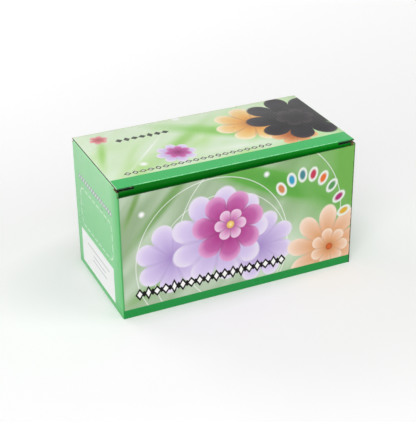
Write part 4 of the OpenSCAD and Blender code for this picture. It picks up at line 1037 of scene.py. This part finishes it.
# Silicone rubber, ground true, looks like chalk: dull, faintly grained, a warm white.
white_rubber = moulded("ground white silicone rubber", "#f1efec", "#e9e6e2", 0.55, texture=0.15)
surface(white_rubber.node_tree, {"Subsurface Weight": 0.15})
soften("roller_sleeve", "roller_white_sleeve", "roller", 0.0008, white_rubber, segments=3, angle=50)
soften("roller_core", "roller_moulded_core", "roller", 0.0004, pale_abs, angle=50)
soften("roller_axle", "roller_steel_axle", "roller", 0.0004, ground_steel, angle=50)
soften("axle_clips", "roller_spring_clips", "roller", 0.0002, spring_steel, angle=50)

# ---- Press handle and scraper ----
# A hollow lilac handle pushes two polished stems through the dome, against springs, and presses a
# hard steel blade on the plate.

soften("press_handle", "press_lilac_handle", "press", 0.0016, lilac_abs, segments=4, angle=50)
soften("press_stems", "press_steel_stems", "press", 0.0003, ground_steel, angle=50)
soften("scraper_holder", "press_blade_holder", "press", 0.0005, violet_abs, angle=50)
# Hardened blade steel is ground across its edge, which leaves bright short lines.
blade_steel = brushed("hardened blade steel", "#c2c6cb", (2500, 60, 2500), 0.2)
soften("scraper_blade", "press_steel_blade", "press", 0.00008, blade_steel, angle=50)
low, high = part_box("press_springs")
middle = (low + high) / 2
coil_r, wire, handle_travel = (high.x - low.x) / 2, 0.0007, 0.0025
for i, side in enumerate((-1, 1)):
    y = side * (high.y - coil_r)
    coil = spring("press_spring_%d" % (i + 1), (middle.x, y, low.z), (middle.x, y, high.z),
                  coil_r - wire / 2, wire, 4)
    finish_piece(coil, "carriage", "press_springs", angle=60)
    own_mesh(coil)

# ---- Round button ----
# Polished pink ABS cap, crowned, with a ring groove round it. It is moulded in one with its stem,
# and a coil spring pushes both out again.

# The button's ABS comes from a polished tool too, and is a lighter pink than the dome.
pink_abs = moulded("polished pink ABS", "#d67fb8", "#cd74b0", 0.2, texture=0.02, coat=0.4)
low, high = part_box("round_button")
button_r = (high.x - low.x) / 2
button_x, button_z = (low.x + high.x) / 2, (low.z + high.z) / 2
cap_depth, cap_t, skirt_t, stem_r = 0.005, 0.002, 0.0012, 0.0025
button = disc("button_crowned_cap", (0, 0, 0), button_r, cap_depth, sides=64)
choose("faces", lambda at, way: way.z > 0.9)
bpy.ops.transform.translate(value=(0, 0, -0.0006))
# From the rim inwards: a flat ring, the groove's two walls, and three steps up the crown.
for inset, rise in ((0.0012, 0), (0.0006, -0.0005), (0.0006, 0.0005), (0.0012, 0.0003),
                    (0.0014, 0.0002), (0.0012, 0.0001)):
    bpy.ops.mesh.inset(thickness=inset)
    bpy.ops.transform.translate(value=(0, 0, rise))
choose("faces", lambda at, way: way.z < -0.9)
bpy.ops.mesh.inset(thickness=skirt_t)
bpy.ops.mesh.extrude_region_move(TRANSFORM_OT_translate={"value": (0, 0, cap_depth - cap_t)})
bpy.ops.mesh.inset(thickness=button_r - skirt_t - stem_r)
bpy.ops.mesh.extrude_region_move(TRANSFORM_OT_translate={"value": (0, 0, cap_t - (high.y - low.y))})
round_edges(button, 0.0003, 3, 55)
button.data.transform(Matrix.Translation((button_x, low.y + cap_depth, button_z))
                      @ Matrix.Rotation(math.pi / 2, 4, "X"))
button.data.materials.append(pink_abs)
finish_piece(button, "button", "round_button")
low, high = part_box("button_spring")
coil_r, wire, button_travel = (high.x - low.x) / 2, 0.0006, 0.002
coil = spring("button_return_spring", (button_x, high.y, button_z), (button_x, low.y, button_z),
              coil_r - wire / 2, wire, 5)
finish_piece(coil, "carriage", "button_spring", angle=60)
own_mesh(coil)

# ---- Camera, floor and light ----
# The photograph's view, a long lens from the front left, fitted to the carton's seven visible
# corners. Large soft lamps stand all round, the strongest one at the front left.

azimuth, elevation, roll = (math.radians(v) for v in (-24.215, 28.332, -0.724))
right = Vector((math.cos(azimuth), math.sin(azimuth), 0))
back = Vector((math.sin(azimuth) * math.cos(elevation), -math.cos(azimuth) * math.cos(elevation),
               math.sin(elevation)))
up = back.cross(right)
target = Vector((0, -0.001, 0.055))
distance, leftward, downward = 4.622, 0.02479, 0.01238     # in widths of the carton
eye = target + carton_w * (distance * back - leftward * right - downward * up)
side = math.cos(roll) * right + math.sin(roll) * up
over = -math.sin(roll) * right + math.cos(roll) * up
camera = bpy.data.objects.new("photo_camera", bpy.data.cameras.new("photo_camera"))
camera.data.lens = 96.78
camera.matrix_world = Matrix.Translation(eye) @ Matrix((side, over, back)).transposed().to_4x4()
bpy.context.scene.collection.objects.link(camera)
bpy.context.scene.camera = camera

# The floor is 40 m wide, so that no view of the carton sees its edge near by.
bpy.ops.mesh.primitive_plane_add(size=40)
floor = bpy.context.object
floor.name = "studio_floor"
# White paper, lit softly. It glows a little to the camera alone, more further off, and keeps the
# carton's cast shadow. Its glow is least round the carton, which paints a soft shadow there, deepest to
# the left and back.
paper, tree, where = start_material("white studio paper")
away = add(tree, "Mapping", {"Vector": where, "Location": (-0.02, 0.02, 0), "Scale": (0.12, 0.062, 1)},
           vector_type="TEXTURE")
away = add(tree, "VectorMath", {0: away}, out="Value", operation="LENGTH")
# Painted shadow: close round the carton the glow falls to 0.03.
near_glow_painted_shadow = add(tree, "MapRange", {0: away, 1: 0.95, 2: 1.6, 3: 0.03, 4: 0.17})
far_glow = add(tree, "MapRange", {0: away, 1: 3.0, 2: 40.0, 3: 0, 4: 0.84})
glow = add(tree, "Math", {0: near_glow_painted_shadow, 1: far_glow}, operation="ADD")
seen = add(tree, "LightPath", {}, out="Is Camera Ray")
glow = add(tree, "Math", {0: seen, 1: glow}, operation="MULTIPLY")
surface(tree, {"Base Color": linear("#e6e6e6"), "Roughness": 0.9, "Emission Color": (1, 1, 1, 1),
               "Emission Strength": glow})
floor.data.materials.append(paper)
floor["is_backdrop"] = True

# A white room, bright where it is seen or mirrored and dimmer as a source of light.
world = bpy.context.scene.world or bpy.data.worlds.new("studio")
bpy.context.scene.world = world
world.use_nodes = True
tree = world.node_tree
path = add(tree, "LightPath", {}).node.outputs
seen = add(tree, "Math", {0: path["Is Camera Ray"], 1: path["Is Glossy Ray"]}, operation="MAXIMUM")
feed(tree, tree.nodes["Background"], {
    "Color": (1, 1, 1, 1), "Strength": add(tree, "MapRange", {0: seen, 1: 0, 2: 1, 3: 0.35, 4: 1.0})})

for name, place, size, power in (("key_light", (-0.9, -1.3, 1.6), 1.2, 23.5),
                                 ("fill_light", (1.4, -1.2, 1.0), 1.4, 9),
                                 ("side_light", (-1.75, -0.2, 0.4), 1.1, 3),
                                 ("back_light", (-0.9, 1.6, 0.7), 1.2, 11),
                                 ("top_light", (0.1, 0.3, 1.9), 1.5, 4.5)):
    lamp = bpy.data.lights.new(name, "AREA")
    lamp.size, lamp.energy = size, power
    holder = bpy.data.objects.new(name, lamp)
    holder.location = place
    holder.rotation_euler = (Vector((0, 0, 0.06)) - Vector(place)).to_track_quat("-Z", "Y").to_euler()
    bpy.context.scene.collection.objects.link(holder)

bpy.context.scene.view_settings.view_transform = "Standard"

low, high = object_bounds()
